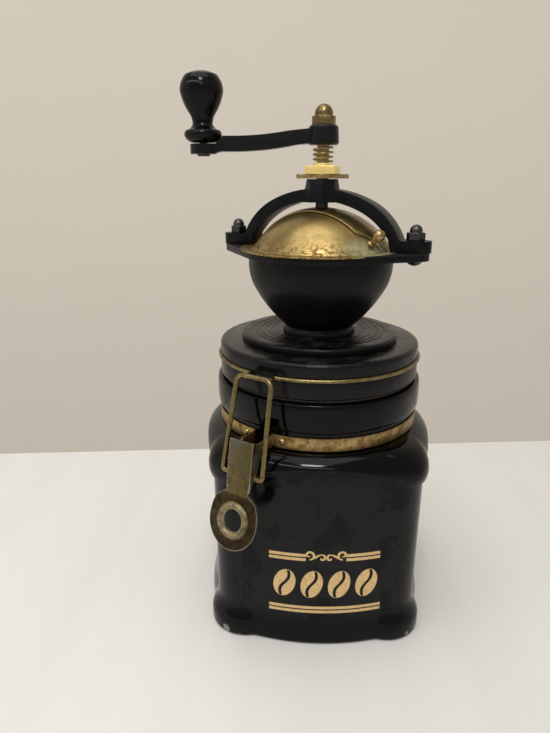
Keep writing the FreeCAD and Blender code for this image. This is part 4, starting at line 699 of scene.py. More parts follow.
@dataclass(frozen=True)
class ClaspPlate(Metal):
    """Stamped brass plate: grey-green smudges above, a dark mottled thumb pad with a paler pressed ring."""

    bend_level: float = 94.5
    smudge_levels: tuple[float, float] = (104.0, 112.0)
    ring_place: Place = (-42.18, -70.2, 81.4)
    ring_reach: float = 9.7
    smudge: Colour = (0.15, 0.145, 0.115)
    grime: Colour = (0.035, 0.025, 0.013)
    pale: Colour = (0.36, 0.29, 0.15)

    def paint(self) -> bpy.types.Material:
        """Make the material.

        Returns:
            The material.
        """
        shader = Shader(self.name)
        colour, rough, bumps = self.layers(shader)
        height = shader.part_of(Axis.Z)
        upper = shader.slope(height, *(level * MM for level in self.smudge_levels))
        grey = shader.ramp(shader.noise(5, 5, 0.6, 0.3), (0.44, 0.0), (0.56, 0.8))
        colour = shader.mix(shader.calc("MULTIPLY", upper, grey), colour, self.smudge)
        edge = shader.calc("MULTIPLY", shader.edges(0.55, 0.004, 0.12), 0.85)
        above = shader.slope(height, (self.bend_level - 1.5) * MM, self.bend_level * MM)
        dirt = shader.ramp(shader.noise(4.5, 6, 0.68, 0.4), (0.42, 0.97), (0.7, 0.45))
        dirt = shader.calc("MULTIPLY", shader.calc("SUBTRACT", 1.0, above), dirt)
        colour = shader.mix(dirt, colour, self.grime)
        rubbed = shader.ramp(shader.noise(3.0, 5, 0.65), (0.36, 0.2), (0.6, 0.85))
        ring = shader.spot(self.ring_place, self.ring_reach, 0.1, ragged=0.5)
        ring = shader.calc("MULTIPLY", ring, rubbed)
        colour = shader.mix(ring, colour, self.pale)
        colour = shader.mix(edge, colour, self.bright)
        rough = shader.calc("ADD", rough, shader.calc("MULTIPLY", dirt, 0.15), clamp=True)
        dull = shader.calc("MULTIPLY", ring, 0.55)
        metal = shader.calc("SUBTRACT", self.metallic, dull, clamp=True)
        shader.set(Base_Color=colour, Roughness=rough, Metallic=metal)
        shader.bump(*bumps, (dirt, 0.03))
        return shader.material


@dataclass(frozen=True)
class StrapPlate(Metal):
    """Yellow plating worn to pale grey in places and brown in others."""

    pale: Colour = (0.46, 0.43, 0.33)
    rust: Colour = (0.2, 0.095, 0.028)
    worn_side: tuple[float, float] = (0.004, 0.038)

    def paint(self) -> bpy.types.Material:
        """Make the material.

        Returns:
            The material.
        """
        shader = Shader(self.name)
        colour, rough, bumps = self.layers(shader)
        lean = shader.slope(shader.part_of(Axis.X), *self.worn_side)
        worn = shader.calc("ADD", shader.noise(8, 6, 0.62, 0.3), shader.calc("MULTIPLY", lean, 0.07))
        worn = shader.ramp(worn, (0.54, 0.0), (0.68, 0.5))
        colour = shader.mix(worn, colour, self.pale)
        stain = shader.ramp(shader.noise(4.2, 6, 0.7, 0.5), (0.44, 0.0), (0.6, 0.85))
        colour = shader.mix(stain, colour, self.rust)
        rough = shader.calc("ADD", rough, shader.calc("MULTIPLY", stain, 0.2), clamp=True)
        shader.set(Base_Color=colour, Roughness=rough, Metallic=self.metallic)
        shader.bump(*bumps, (stain, -0.03))
        return shader.material


@dataclass(frozen=True)
class ShaftSteel(Metal):
    """Dark steel spindle whose threaded top is brass."""

    brass: Colour = (0.42, 0.31, 0.13)
    brass_level: float = 234.0

    def paint(self) -> bpy.types.Material:
        """Make the material.

        Returns:
            The material.
        """
        shader = Shader(self.name)
        colour, rough, bumps = self.layers(shader)
        top = shader.slope(shader.part_of(Axis.Z), self.brass_level * MM, (self.brass_level + 1) * MM)
        brass = shader.mix(shader.noise(2.5, 5, 0.6), self.brass, tuple(v * 0.45 for v in self.brass))
        colour = shader.mix(top, colour, brass)
        shader.set(Base_Color=colour, Roughness=rough, Metallic=self.metallic)
        shader.bump(*bumps)
        return shader.material


@dataclass(frozen=True)
class Plain:
    """A dull finish of two close colours: rubber, bare wood, table, wall and ground."""

    name: str
    base: Colour
    second: Colour
    rough: float = 0.7
    patch_size: float = 5.0
    grain: float = 0.05
    stretch: Place = (1.0, 1.0, 1.0)

    def paint(self) -> bpy.types.Material:
        """Make the material.

        Returns:
            The material.
        """
        shader = Shader(self.name)
        vector = shader.stretched(*self.stretch)
        cloud = shader.noise(self.patch_size, 5, 0.6, vector=vector)
        patch = shader.ramp(cloud, (0.35, 0.0), (0.65, 1.0))
        shader.set(Base_Color=shader.mix(patch, self.base, self.second),
                   Roughness=shader.between(cloud, self.rough - 0.08, self.rough + 0.08), IOR=1.5)
        shader.bump((shader.noise(self.patch_size * 0.25, 4, 0.6, vector=vector), self.grain))
        return shader.material


class Palette:
    """Every finish on the object, made once."""

    def __init__(self) -> None:
        """Make the materials."""
        self.glaze = Glaze().paint()
        self.gold = GoldPrint().paint()
        self.lid_wood = BlackWood("lid_black_paint", gloss=0.2, lathe=2.3).paint()
        self.disc_wood = BlackWood("disc_black_paint", base=(0.002, 0.002, 0.0022), gloss=0.26, lathe=1.5,
                                   crack_line=((21.0, 4.0), (42.5, -7.5))).paint()
        self.bare_wood = Plain("bare_wood", (0.42, 0.27, 0.15), (0.3, 0.18, 0.09), rough=0.6,
                               patch_size=3.0, grain=0.06, stretch=(0.15, 1, 1)).paint()
        self.rubber = Plain("seal_rubber", (0.075, 0.05, 0.035), (0.045, 0.03, 0.024), rough=0.55,
                            patch_size=4.0, grain=0.02).paint()
        self.iron = Enamel("black_iron_enamel", gloss=0.34, wave=0.05).paint()
        self.crank_iron = Enamel("crank_enamel", base=(0.0045, 0.0045, 0.005), gloss=0.26, shine=0.22,
                                 wave=0.09, wear=0.4).paint()
        self.lacquer = Enamel("knob_lacquer", base=(0.002, 0.002, 0.0022), gloss=0.13, shine=0.16,
                              grain=0.004, wave=0.03, wear=0.15).paint()
        self.raw_iron = Metal("raw_iron", base=(0.2, 0.19, 0.18), dark=(0.09, 0.08, 0.07),
                              bright=(0.4, 0.39, 0.37), rough=0.45).paint()
        self.steel = Metal("dark_steel", base=(0.1, 0.095, 0.09), dark=(0.03, 0.028, 0.026),
                           bright=(0.3, 0.29, 0.28), rough=0.38, spots=0.2).paint()
        self.dark_nut = Metal("dark_nut", base=(0.085, 0.08, 0.08), dark=(0.03, 0.028, 0.026),
                              bright=(0.22, 0.2, 0.17), rough=0.3, spots=0.2).paint()
        self.dome = DomeBrass("dome_brass", base=(0.47, 0.345, 0.135), dark=(0.2, 0.145, 0.06),
                              bright=(0.85, 0.68, 0.36), rough=0.3, patina=0.5, patch_size=9.0, spots=0.25,
                              spot_colour=(0.12, 0.055, 0.015), edge=0.3, scratch=0.25).paint()
        # Brass with a painted highlight: low metallic lets the bright brass colour show as diffuse light,
        # standing in for a lamp's reflection on the nut
        self.nut = Metal("bright_brass", base=(0.98, 0.76, 0.27), dark=(0.7, 0.46, 0.12),
                         bright=(1.0, 0.88, 0.5), rough=0.2, patina=0.25, spots=0.12, metallic=0.35).paint()
        self.old_brass = Metal("old_brass", base=(0.5, 0.37, 0.16), dark=(0.17, 0.12, 0.05),
                               bright=(0.8, 0.64, 0.34), rough=0.28, patina=0.75, patch_size=3.0).paint()
        self.aged_nut = Metal("aged_nut", base=(0.25, 0.19, 0.08), dark=(0.09, 0.066, 0.028),
                              bright=(0.62, 0.5, 0.26), rough=0.26, patina=0.7, patch_size=3.0,
                              edge=0.6).paint()
        self.clasp = ClaspPlate("clasp_plate", base=(0.19, 0.145, 0.06), dark=(0.08, 0.062, 0.03),
                                bright=(0.7, 0.66, 0.54), rough=0.32, patina=0.8, patch_size=5.0, spots=0.6,
                                spot_colour=(0.035, 0.024, 0.014), edge=0.85, scratch=0.35).paint()
        self.strap = StrapPlate("strap_plate", base=(0.5, 0.37, 0.15), dark=(0.24, 0.14, 0.05),
                                bright=(0.82, 0.72, 0.48), rough=0.32, patina=0.8, patch_size=4.0, spots=0.8,
                                spot_colour=(0.12, 0.055, 0.018), edge=0.55, scratch=0.35).paint()
        self.wire = Metal("wire_plate", base=(0.3, 0.235, 0.1), dark=(0.1, 0.075, 0.03),
                          bright=(0.8, 0.72, 0.5), rough=0.26, patina=0.75, patch_size=3.0, spots=0.6,
                          spot_colour=(0.04, 0.024, 0.012), edge=0.2, scratch=0.3).paint()
        self.spindle = ShaftSteel("spindle_metal", base=(0.06, 0.057, 0.055), dark=(0.02, 0.019, 0.018),
                                  bright=(0.3, 0.29, 0.28), rough=0.34, spots=0.2).paint()


# Mesh building


def mesh_piece(name: str, vertices: Iterable[Sequence[float]], faces: Iterable[Sequence[int]],
               smooth: float = 40.0) -> bpy.types.Object:
    """Make a mesh object from millimetre vertices.

    Args:
        name: Object name.
        vertices: Points in millimetres.
        faces: Vertex indices of each face.
        smooth: Angle in degrees under which edges are shaded smooth.

    Returns:
        The new object.
    """
    mesh = bpy.data.meshes.new(name)
    mesh.from_pydata([tuple(c * MM for c in v) for v in vertices], [], [tuple(f) for f in faces])
    mesh.validate()
    return place_mesh(mesh, smooth)


def place_mesh(mesh: bpy.types.Mesh, smooth: float) -> bpy.types.Object:
    """Put a mesh into the scene as an object of its own name.

    Args:
        mesh: The mesh.
        smooth: Angle in degrees under which edges are shaded smooth.

    Returns:
        The new object.
    """
    shade(mesh, smooth)
    made = bpy.data.objects.new(mesh.name, mesh)
    bpy.context.scene.collection.objects.link(made)
    LOG.info("piece %s", made.name)
    return made


def shade(mesh: bpy.types.Mesh, angle: float) -> None:
    """Shade a mesh smooth, with edges over ``angle`` degrees kept sharp."""
    mesh.shade_smooth()
    mesh.set_sharp_from_angle(angle=math.radians(angle))


def rounded_copy(node: str, width: float, body: str, segments: int = 2,
                 angle: float = 32.0) -> bpy.types.Object:
    """A piece that stands for a CAD node: the same solid with its hard edges eased.

    Args:
        node: The CAD node.
        width: How far the edges are eased, in millimetres.
        body: The CAD body it rides on.
        segments: Steps of the easing.
        angle: Edges sharper than this are eased, in degrees.

    Returns:
        The new object.
    """
    form = bmesh.new()
    form.from_mesh(bpy.data.objects[node].data)
    bmesh.ops.remove_doubles(form, verts=form.verts, dist=WELD * MM)
    bmesh.ops.dissolve_degenerate(form, edges=form.edges, dist=2 * WELD * MM)
    bmesh.ops.dissolve_limit(
        form, angle_limit=math.radians(FLAT_ANGLE), use_dissolve_boundaries=False,
        verts=form.verts, edges=form.edges)
    sharp = [edge for edge in form.edges
             if len(edge.link_faces) == 2 and edge.calc_face_angle(0) > math.radians(angle)]
    if sharp:
        bmesh.ops.bevel(form, geom=sharp, offset=width * MM, segments=segments, profile=0.5,
                        affect="EDGES", clamp_overlap=True)
    mesh = bpy.data.meshes.new(node + "_form")
    form.to_mesh(mesh)
    form.free()
    made = place_mesh(mesh, 38.0)
    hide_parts(node)
    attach(made, body)
    return made


def finish(piece: bpy.types.Object, material: bpy.types.Material, smooth: Optional[float] = None) -> None:
    """Give a piece its finish.

    Args:
        piece: A piece of the scene, or a carried-over CAD node.
        material: The finish.
        smooth: Angle in degrees under which its edges are shaded smooth, or None to leave them.
    """
    piece.data.materials.clear()
    piece.data.materials.append(material)
    if smooth is not None:
        shade(piece.data, smooth)


def finish_node(node: str, material: bpy.types.Material, smooth: float) -> None:
    """Give a carried-over CAD node its finish, and name it in the log."""
    finish(bpy.data.objects[node], material, smooth)
    LOG.info("piece %s, as in CAD", node)


def ring_grid(rows: Sequence[Ring], count: int) -> tuple[list[Vector], list[tuple[int, ...]]]:
    """Vertices and faces of rings round the Z axis, joined row by row and closed at both ends.

    Args:
        rows: For each ring, a function from the angle to (radius, height).
        count: Points round each ring.

    Returns:
        Vertices in millimetres and faces.
    """
    vertices = []
    for row in rows:
        for index in range(count):
            angle = 2 * math.pi * index / count
            radius, height = row(angle)
            vertices.append(Vector((radius * math.cos(angle), radius * math.sin(angle), height)))
    faces: list[tuple[int, ...]] = []
    for row in range(len(rows) - 1):
        low, high = row * count, (row + 1) * count
        for index in range(count):
            after = (index + 1) % count
            faces.append((low + index, low + after, high + after, high + index))
    faces.append(tuple(reversed(range(count))))
    faces.append(tuple(range((len(rows) - 1) * count, len(rows) * count)))
    return vertices, faces


def node_box(node: str) -> tuple[Vector, Vector]:
    """Lowest and highest corner of a CAD node in millimetres."""
    low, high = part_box(node)
    return low / MM, high / MM


# Sub-assemblies


@dataclass(frozen=True)
class CanisterSizes:
    """The scalloped canister's driving sizes, in millimetres.

    A profile is a row of pairs: how far a ring is drawn in and how high it lies on the lip, or its
    height over the floor and its place between the square hollow and the round middle.
    """

    corner_centre: float = 39.0
    corner_radius: float = 20.0
    bow_radius: float = 120.0
    hollow_radius: float = 10.0
    base_round: float = 2.0
    foot_lip: float = 7.0
    foot_blend: float = 12.0
    foot_flare: float = 3.9
    face_flare: float = 2.3
    corner_lean: float = 0.5
    face_taper: float = 2.0
    lip_corner: float = 1.2
    lip_rise: float = 1.3
    crease: float = 104.6
    arch_drop: float = 11.0
    shoulder_roll: float = 1.45
    corner_roll: float = 0.65
    corner_swell: float = 1.8
    shoulder_delay: float = 1.4
    shoulder_depth: float = 1.0
    neck_base: float = 112.0
    neck_length: float = 10.2
    neck_cover: float = 0.05
    ring_root: float = 0.9
    ring_bulge: float = 2.1
    ring_flatness: float = 0.86
    ring_fullness: float = 0.62
    ring_height: float = 0.985
    ring_edge: Point = (0.4, 0.02)
    floor: float = 7.0
    wall: float = 6.0
    middle: float = 20.0
    inner_corner: float = 36.0
    mouth_round: float = 1.6
    mouth_depth: float = 8.0
    throat_rise: float = 2.0
    hollow_top: float = 106.0
    hollow_roof: float = 18.0
    plug_clearance: float = 3.5
    band_thickness: float = 0.9
    arch_cover: float = 0.3
    arch_start: float = 0.75
    arch_share: float = 0.994
    lip_profile: tuple[Point, ...] = ((2.0, 0.15), (1.0, -0.3), (0.5, -0.22), (0.12, 0.2), (0.0, 0.7))
    neck_levels: tuple[float, ...] = (0.6, 1.5, 4.0, 8.0, 9.4)
    hollow_levels: tuple[float, ...] = (60.0, 30.0, 10.0)
    floor_profile: tuple[Point, ...] = ((0.6, 0.03), (0.0, 0.12))
    chip_depth: float = 0.42
    chip_jag: Place = (5.1, 4.3, 3.7)
    points: int = 288
    foot_steps: int = 5
    flank_steps: int = 52
    shoulder_steps: int = 18
    ring_steps: int = 16
    mouth_steps: int = 4
    roof_steps: int = 8


class Canister:
    """The glazed canister and its printed rules and beans."""

    def __init__(self, palette: Palette, sizes: CanisterSizes = CanisterSizes()) -> None:
        """Take the overall sizes from the frame.

        Args:
            palette: The finishes.
            sizes: Driving sizes.
        """
        self.palette = palette
        self.size = sizes
        low, high = node_box("canister")
        self.face_reach = high.x
        self.ring_top = high.z
        self.neck = node_box("neck_strap")[1].x - sizes.band_thickness
        self.mouth = node_box("lid_plug")[1].x + sizes.plug_clearance

    @staticmethod
    def fold(angle: float) -> float:
        """Angle from the middle of the nearest face."""
        return abs((angle + QUARTER / 2) % QUARTER - QUARTER / 2)

    @staticmethod
    def eased(height: float, start: float, length: float) -> float:
        """Share of the way through a range of heights, slow at both ends."""
        share = min(max((height - start) / length, 0), 1)
        return share * share * (3 - 2 * share)

    def insets(self, height: float) -> tuple[float, float]:
        """How far corners and faces are drawn in at a height.

        Args:
            height: Height in millimetres.

        Returns:
            The corners' inset and the faces' inset.
        """
        s = self.size
        foot = self.eased(height, s.foot_lip, s.foot_blend)
        foot_end = s.foot_lip + s.foot_blend
        lean = self.eased(height, foot_end, s.crease - foot_end)
        corner = s.foot_flare * foot - s.corner_lean * lean
        return corner, s.face_flare * foot + s.face_taper * height / s.neck_base

    def plan(self, angle: float, corner_inset: float, face_inset: float) -> float:
        """Reach of the scalloped square at an angle.

        Args:
            angle: Angle about the Z axis.
            corner_inset: How far the corners are drawn in.
            face_inset: How far the faces are drawn in.

        Returns:
            The reach in millimetres.
        """
        s = self.size
        folded = self.fold(angle)
        corner, bow = s.corner_radius - corner_inset, s.bow_radius - corner_inset
        hollow = s.hollow_radius
        bow_point = Vector((self.face_reach - face_inset - bow, 0))
        corner_point = Vector((s.corner_centre, s.corner_centre))
        across = corner_point - bow_point
        reach = across.length
        along = (reach ** 2 + (bow + hollow) ** 2 - (corner + hollow) ** 2) / (2 * reach)
        aside = math.sqrt((bow + hollow) ** 2 - along ** 2)
        unit = across.normalized()
        hollow_point = bow_point + unit * along + Vector((unit.y, -unit.x)) * aside
        bow_end = bow_point.lerp(hollow_point, bow / (bow + hollow))
        corner_end = corner_point.lerp(hollow_point, corner / (corner + hollow))
        heading = Vector((math.cos(folded), math.sin(folded)))
        if folded < math.atan2(bow_end.y, bow_end.x):
            centre, radius, side = bow_point, bow, 1
        elif folded < math.atan2(corner_end.y, corner_end.x):
            centre, radius, side = hollow_point, hollow, -1
        else:
            centre, radius, side = corner_point, corner, 1
        middle = heading.dot(centre)
        return middle + side * math.sqrt(max(middle ** 2 - centre.length_squared + radius ** 2, 0))

    def crease(self, angle: float) -> float:
        """Height of the arched shoulder edge at an angle."""
        return self.size.crease - self.size.arch_drop * math.sin(2 * self.fold(angle)) ** 3

    def flank_row(self, share: float) -> Ring:
        """A ring on the flank, from the base rounding (0) up to the arched edge (1).

        Args:
            share: Place on the flank.

        Returns:
            The ring.
        """
        def at(angle: float) -> Point:
            """Radius and height of the ring at an angle.

            Args:
                angle: Angle about the Z axis.

            Returns:
                The radius and the height.
            """
            s = self.size
            top = self.crease(angle) + s.arch_cover
            plain = s.base_round + (s.crease - s.arch_drop - s.base_round) * share
            true = s.base_round + (top - s.base_round) * share
            weight = min(share / s.arch_start, 1) ** 3
            height = plain + (true - plain) * weight
            corner, face = self.insets(height)
            return self.plan(angle, corner, face), height
        return at

    def base_row(self, share: float) -> Ring:
        """A ring on the rounding under the foot.

        Args:
            share: Place on the rounding, 0 underneath and 1 at the side.

        Returns:
            The ring.
        """
        def at(angle: float) -> Point:
            """Radius and height of the ring at an angle.

            Args:
                angle: Angle about the Z axis.

            Returns:
                The radius and the height.
            """
            turn = share * QUARTER
            inset = self.size.base_round * (1 - math.sin(turn))
            return self.plan(angle, inset, inset), self.size.base_round * (1 - math.cos(turn))
        return at

    def lip_row(self, inset: float, rise: float) -> Ring:
        """A ring on the lip of the shoulder.

        Args:
            inset: How far it is drawn in from the lip.
            rise: Its height over the edge.

        Returns:
            The ring.
        """
        def at(angle: float) -> Point:
            """Radius and height of the ring at an angle."""
            return self.plan(angle, self.size.lip_corner + inset, inset), self.crease(angle) + rise
        return at

    def shoulder_row(self, share: float) -> Ring:
        """A ring on the rolled shoulder, from the lip (0) to the neck (1).

        Args:
            share: Place on the shoulder.

        Returns:
            The ring.
        """
        s = self.size
        lip = self.lip_row(0, s.lip_rise)

        def at(angle: float) -> Point:
            """Radius and height of the ring at an angle.

            Args:
                angle: Angle about the Z axis.

            Returns:
                The radius and the height.
            """
            start, low = lip(angle)
            inner = self.neck - s.shoulder_depth
            turn = share * QUARTER
            corner = math.sin(2 * self.fold(angle)) ** 2
            roll = s.shoulder_roll + (s.corner_roll - s.shoulder_roll) * corner
            radius = inner + (start - inner) * max(math.cos(turn), 0) ** roll
            radius += s.corner_swell * corner * math.sin(2 * turn)
            rise = math.sin(turn) ** s.shoulder_delay
            return max(radius, self.neck - s.neck_cover), low + (s.neck_base - low) * rise
        return at

    @staticmethod
    def round_row(radius: float, height: float) -> Ring:
        """A plain round ring."""
        return lambda angle: (radius, height)

    def inner_row(self, height: float, share: float) -> Ring:
        """A ring of the hollow, from its rounded square (0) to the round mouth (1).

        Args:
            height: Its height.
            share: Place between square and round.

        Returns:
            The ring.
        """
        half = self.face_reach - self.size.face_flare - self.size.face_taper - self.size.wall
        corner = self.size.inner_corner

        def at(angle: float) -> Point:
            """Radius and height of the ring at an angle.

            Args:
                angle: Angle about the Z axis.

            Returns:
                The radius and the height.
            """
            folded = self.fold(angle)
            straight = half - corner
            if math.tan(folded) * half <= straight:
                square = half / math.cos(folded)
            else:
                middle = straight * (math.cos(folded) + math.sin(folded))
                square = middle + math.sqrt(middle ** 2 - 2 * straight ** 2 + corner ** 2)
            return square + (self.mouth - square) * share, height
        return at

    def rows(self) -> list[Ring]:
        """All rings from the underside, up the outside, over the ring and down inside."""
        return self.outer_rows() + self.neck_rows() + self.inner_rows()

    def outer_rows(self) -> list[Ring]:
        """Rings of the foot, the flank, the lip and the shoulder.

        Returns:
            The rings from the underside up.
        """
        s = self.size
        rows = [self.round_row(s.middle, 0.0), self.base_row(0.0)]
        rows += [self.base_row(step / s.foot_steps) for step in range(1, s.foot_steps)]
        rows += [self.flank_row(step / s.flank_steps) for step in range(s.flank_steps)]
        rows += [self.flank_row(s.arch_share), self.flank_row(1.0)]
        rows += [self.lip_row(inset, rise) for inset, rise in s.lip_profile]
        return rows + [self.shoulder_row(step / s.shoulder_steps) for step in range(s.shoulder_steps + 1)]

    def neck_rows(self) -> list[Ring]:
        """Rings of the neck, the rolled ring and the rounding into the mouth.

        Returns:
            The rings from the shoulder up.
        """
        s = self.size
        bottom = s.neck_base + s.neck_length
        rows = [self.round_row(self.neck, s.neck_base + step) for step in s.neck_levels]
        widest = self.neck + s.ring_bulge
        height = self.ring_top - bottom
        for step in range(s.ring_steps + 1):
            turn = -QUARTER + math.pi * step / s.ring_steps
            flat = math.copysign(abs(math.sin(turn)) ** s.ring_flatness, math.sin(turn))
            bulge = (widest - self.neck - s.ring_root) * math.cos(turn) ** s.ring_fullness
            rows.append(self.round_row(self.neck + s.ring_root + bulge,
                                       bottom + height * (0.5 + 0.5 * flat) * s.ring_height))
        rows.append(self.round_row(self.neck - s.ring_edge[0], self.ring_top - s.ring_edge[1]))
        rows.append(self.round_row(self.mouth + s.mouth_round, self.ring_top))
        for step in range(1, s.mouth_steps + 1):
            turn = QUARTER * step / s.mouth_steps
            radius = self.mouth + s.mouth_round - s.mouth_round * math.sin(turn)
            rows.append(self.round_row(radius, self.ring_top - s.mouth_round * (1 - math.cos(turn))))
        return rows

    def inner_rows(self) -> list[Ring]:
        """Rings of the mouth and the hollow, down to its floor.

        Returns:
            The rings from the mouth down.
        """
        s = self.size
        levels = (self.ring_top - s.mouth_depth, s.neck_base + s.throat_rise, s.hollow_top)
        rows = [self.round_row(self.mouth, level) for level in levels]
        for step in range(1, s.roof_steps + 1):
            turn = QUARTER * step / s.roof_steps
            drop = s.hollow_roof * (1 - math.cos(turn))
            rows.append(self.inner_row(s.hollow_top - drop, 1 - math.sin(turn)))
        rows += [self.inner_row(height, 0.0) for height in s.hollow_levels]
        rows += [self.inner_row(s.floor + rise, share) for rise, share in s.floor_profile]
        return rows + [self.round_row(s.middle, s.floor)]

    def build(self) -> None:
        """Build the glazed body, with its chipped foot, and the print on its front."""
        vertices, faces = ring_grid(self.rows(), self.size.points)
        for vertex in vertices:
            self.chip(vertex)
        self.body = mesh_piece("canister_glaze", vertices, faces, 48)
        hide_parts("canister")
        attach(self.body, "canister_body")
        self.label = LabelPrint(self).build()

    def dress(self) -> None:
        """Glaze the body and gild the print."""
        finish(self.body, self.palette.glaze)
        finish(self.label, self.palette.gold)

    def chip(self, vertex: Vector) -> None:
        """Pull a vertex in where the foot is chipped.

        Args:
            vertex: The vertex in millimetres, changed in place.
        """
        for x, y, z, radius in Glaze.chips:
            away = (vertex - Vector((x, y, z))).length
            if away < radius and vertex.z > 0.01:
                jx, jy, jz = self.size.chip_jag
                jag = 0.75 + 0.25 * math.sin(vertex.x * jx + vertex.z * jz) * math.sin(vertex.y * jy)
                inward = Vector((-vertex.x, -vertex.y, 0)).normalized()
                vertex += inward * (1 - away / radius) * radius * self.size.chip_depth * jag

    def face_point(self, x: float, z: float, lift: float = 0.0) -> Vector:
        """The point of the front face above a place (x, z), lifted off it.

        Args:
            x: Its X.
            z: Its height.
            lift: How far it is lifted off.

        Returns:
            The point in millimetres.
        """
        corner, face = self.insets(z)
        bow = self.size.bow_radius - corner
        centre = bow - self.face_reach + face
        return Vector((x, centre - math.sqrt(bow ** 2 - x ** 2) - lift, z))


@dataclass(frozen=True)
class LabelSizes:
    """Layout of the print on the front face, in millimetres.

    ``outer_curl`` is a volute's height over the rule, its radius and its turns, ``inner_curl`` its
    place beside the middle, its radius and its turns. A width is a pair: the thin end and the swell.
    """

    centre: float = 4.9
    half_width: float = 30.0
    upper: float = 53.4
    lower: float = 21.0
    stripe: float = 1.75
    gap: float = 0.75
    bean_level: float = 37.0
    bean_height: float = 17.0
    bean_width: float = 11.4
    bean_lean: float = -14.0
    bean_margin: float = 5.0
    beans: int = 4
    bean_gap: float = 0.075
    bean_curve: float = 0.13
    scroll_half: float = 10.6
    outer_curl: Place = (1.5, 2.5, 1.2)
    inner_curl: Place = (2.2, 1.75, 0.8)
    curl_eye: float = 0.25
    curl_width: Point = (0.25, 1.0)
    wave_end: float = 1.9
    wave_start: float = 4.1
    wave_drop: float = 1.0
    wave_rise: float = 3.0
    wave_width: Point = (0.35, 0.85)
    lift: float = 0.12
    rule_steps: int = 40
    curl_steps: int = 44
    wave_steps: int = 20
    bean_steps: int = 30


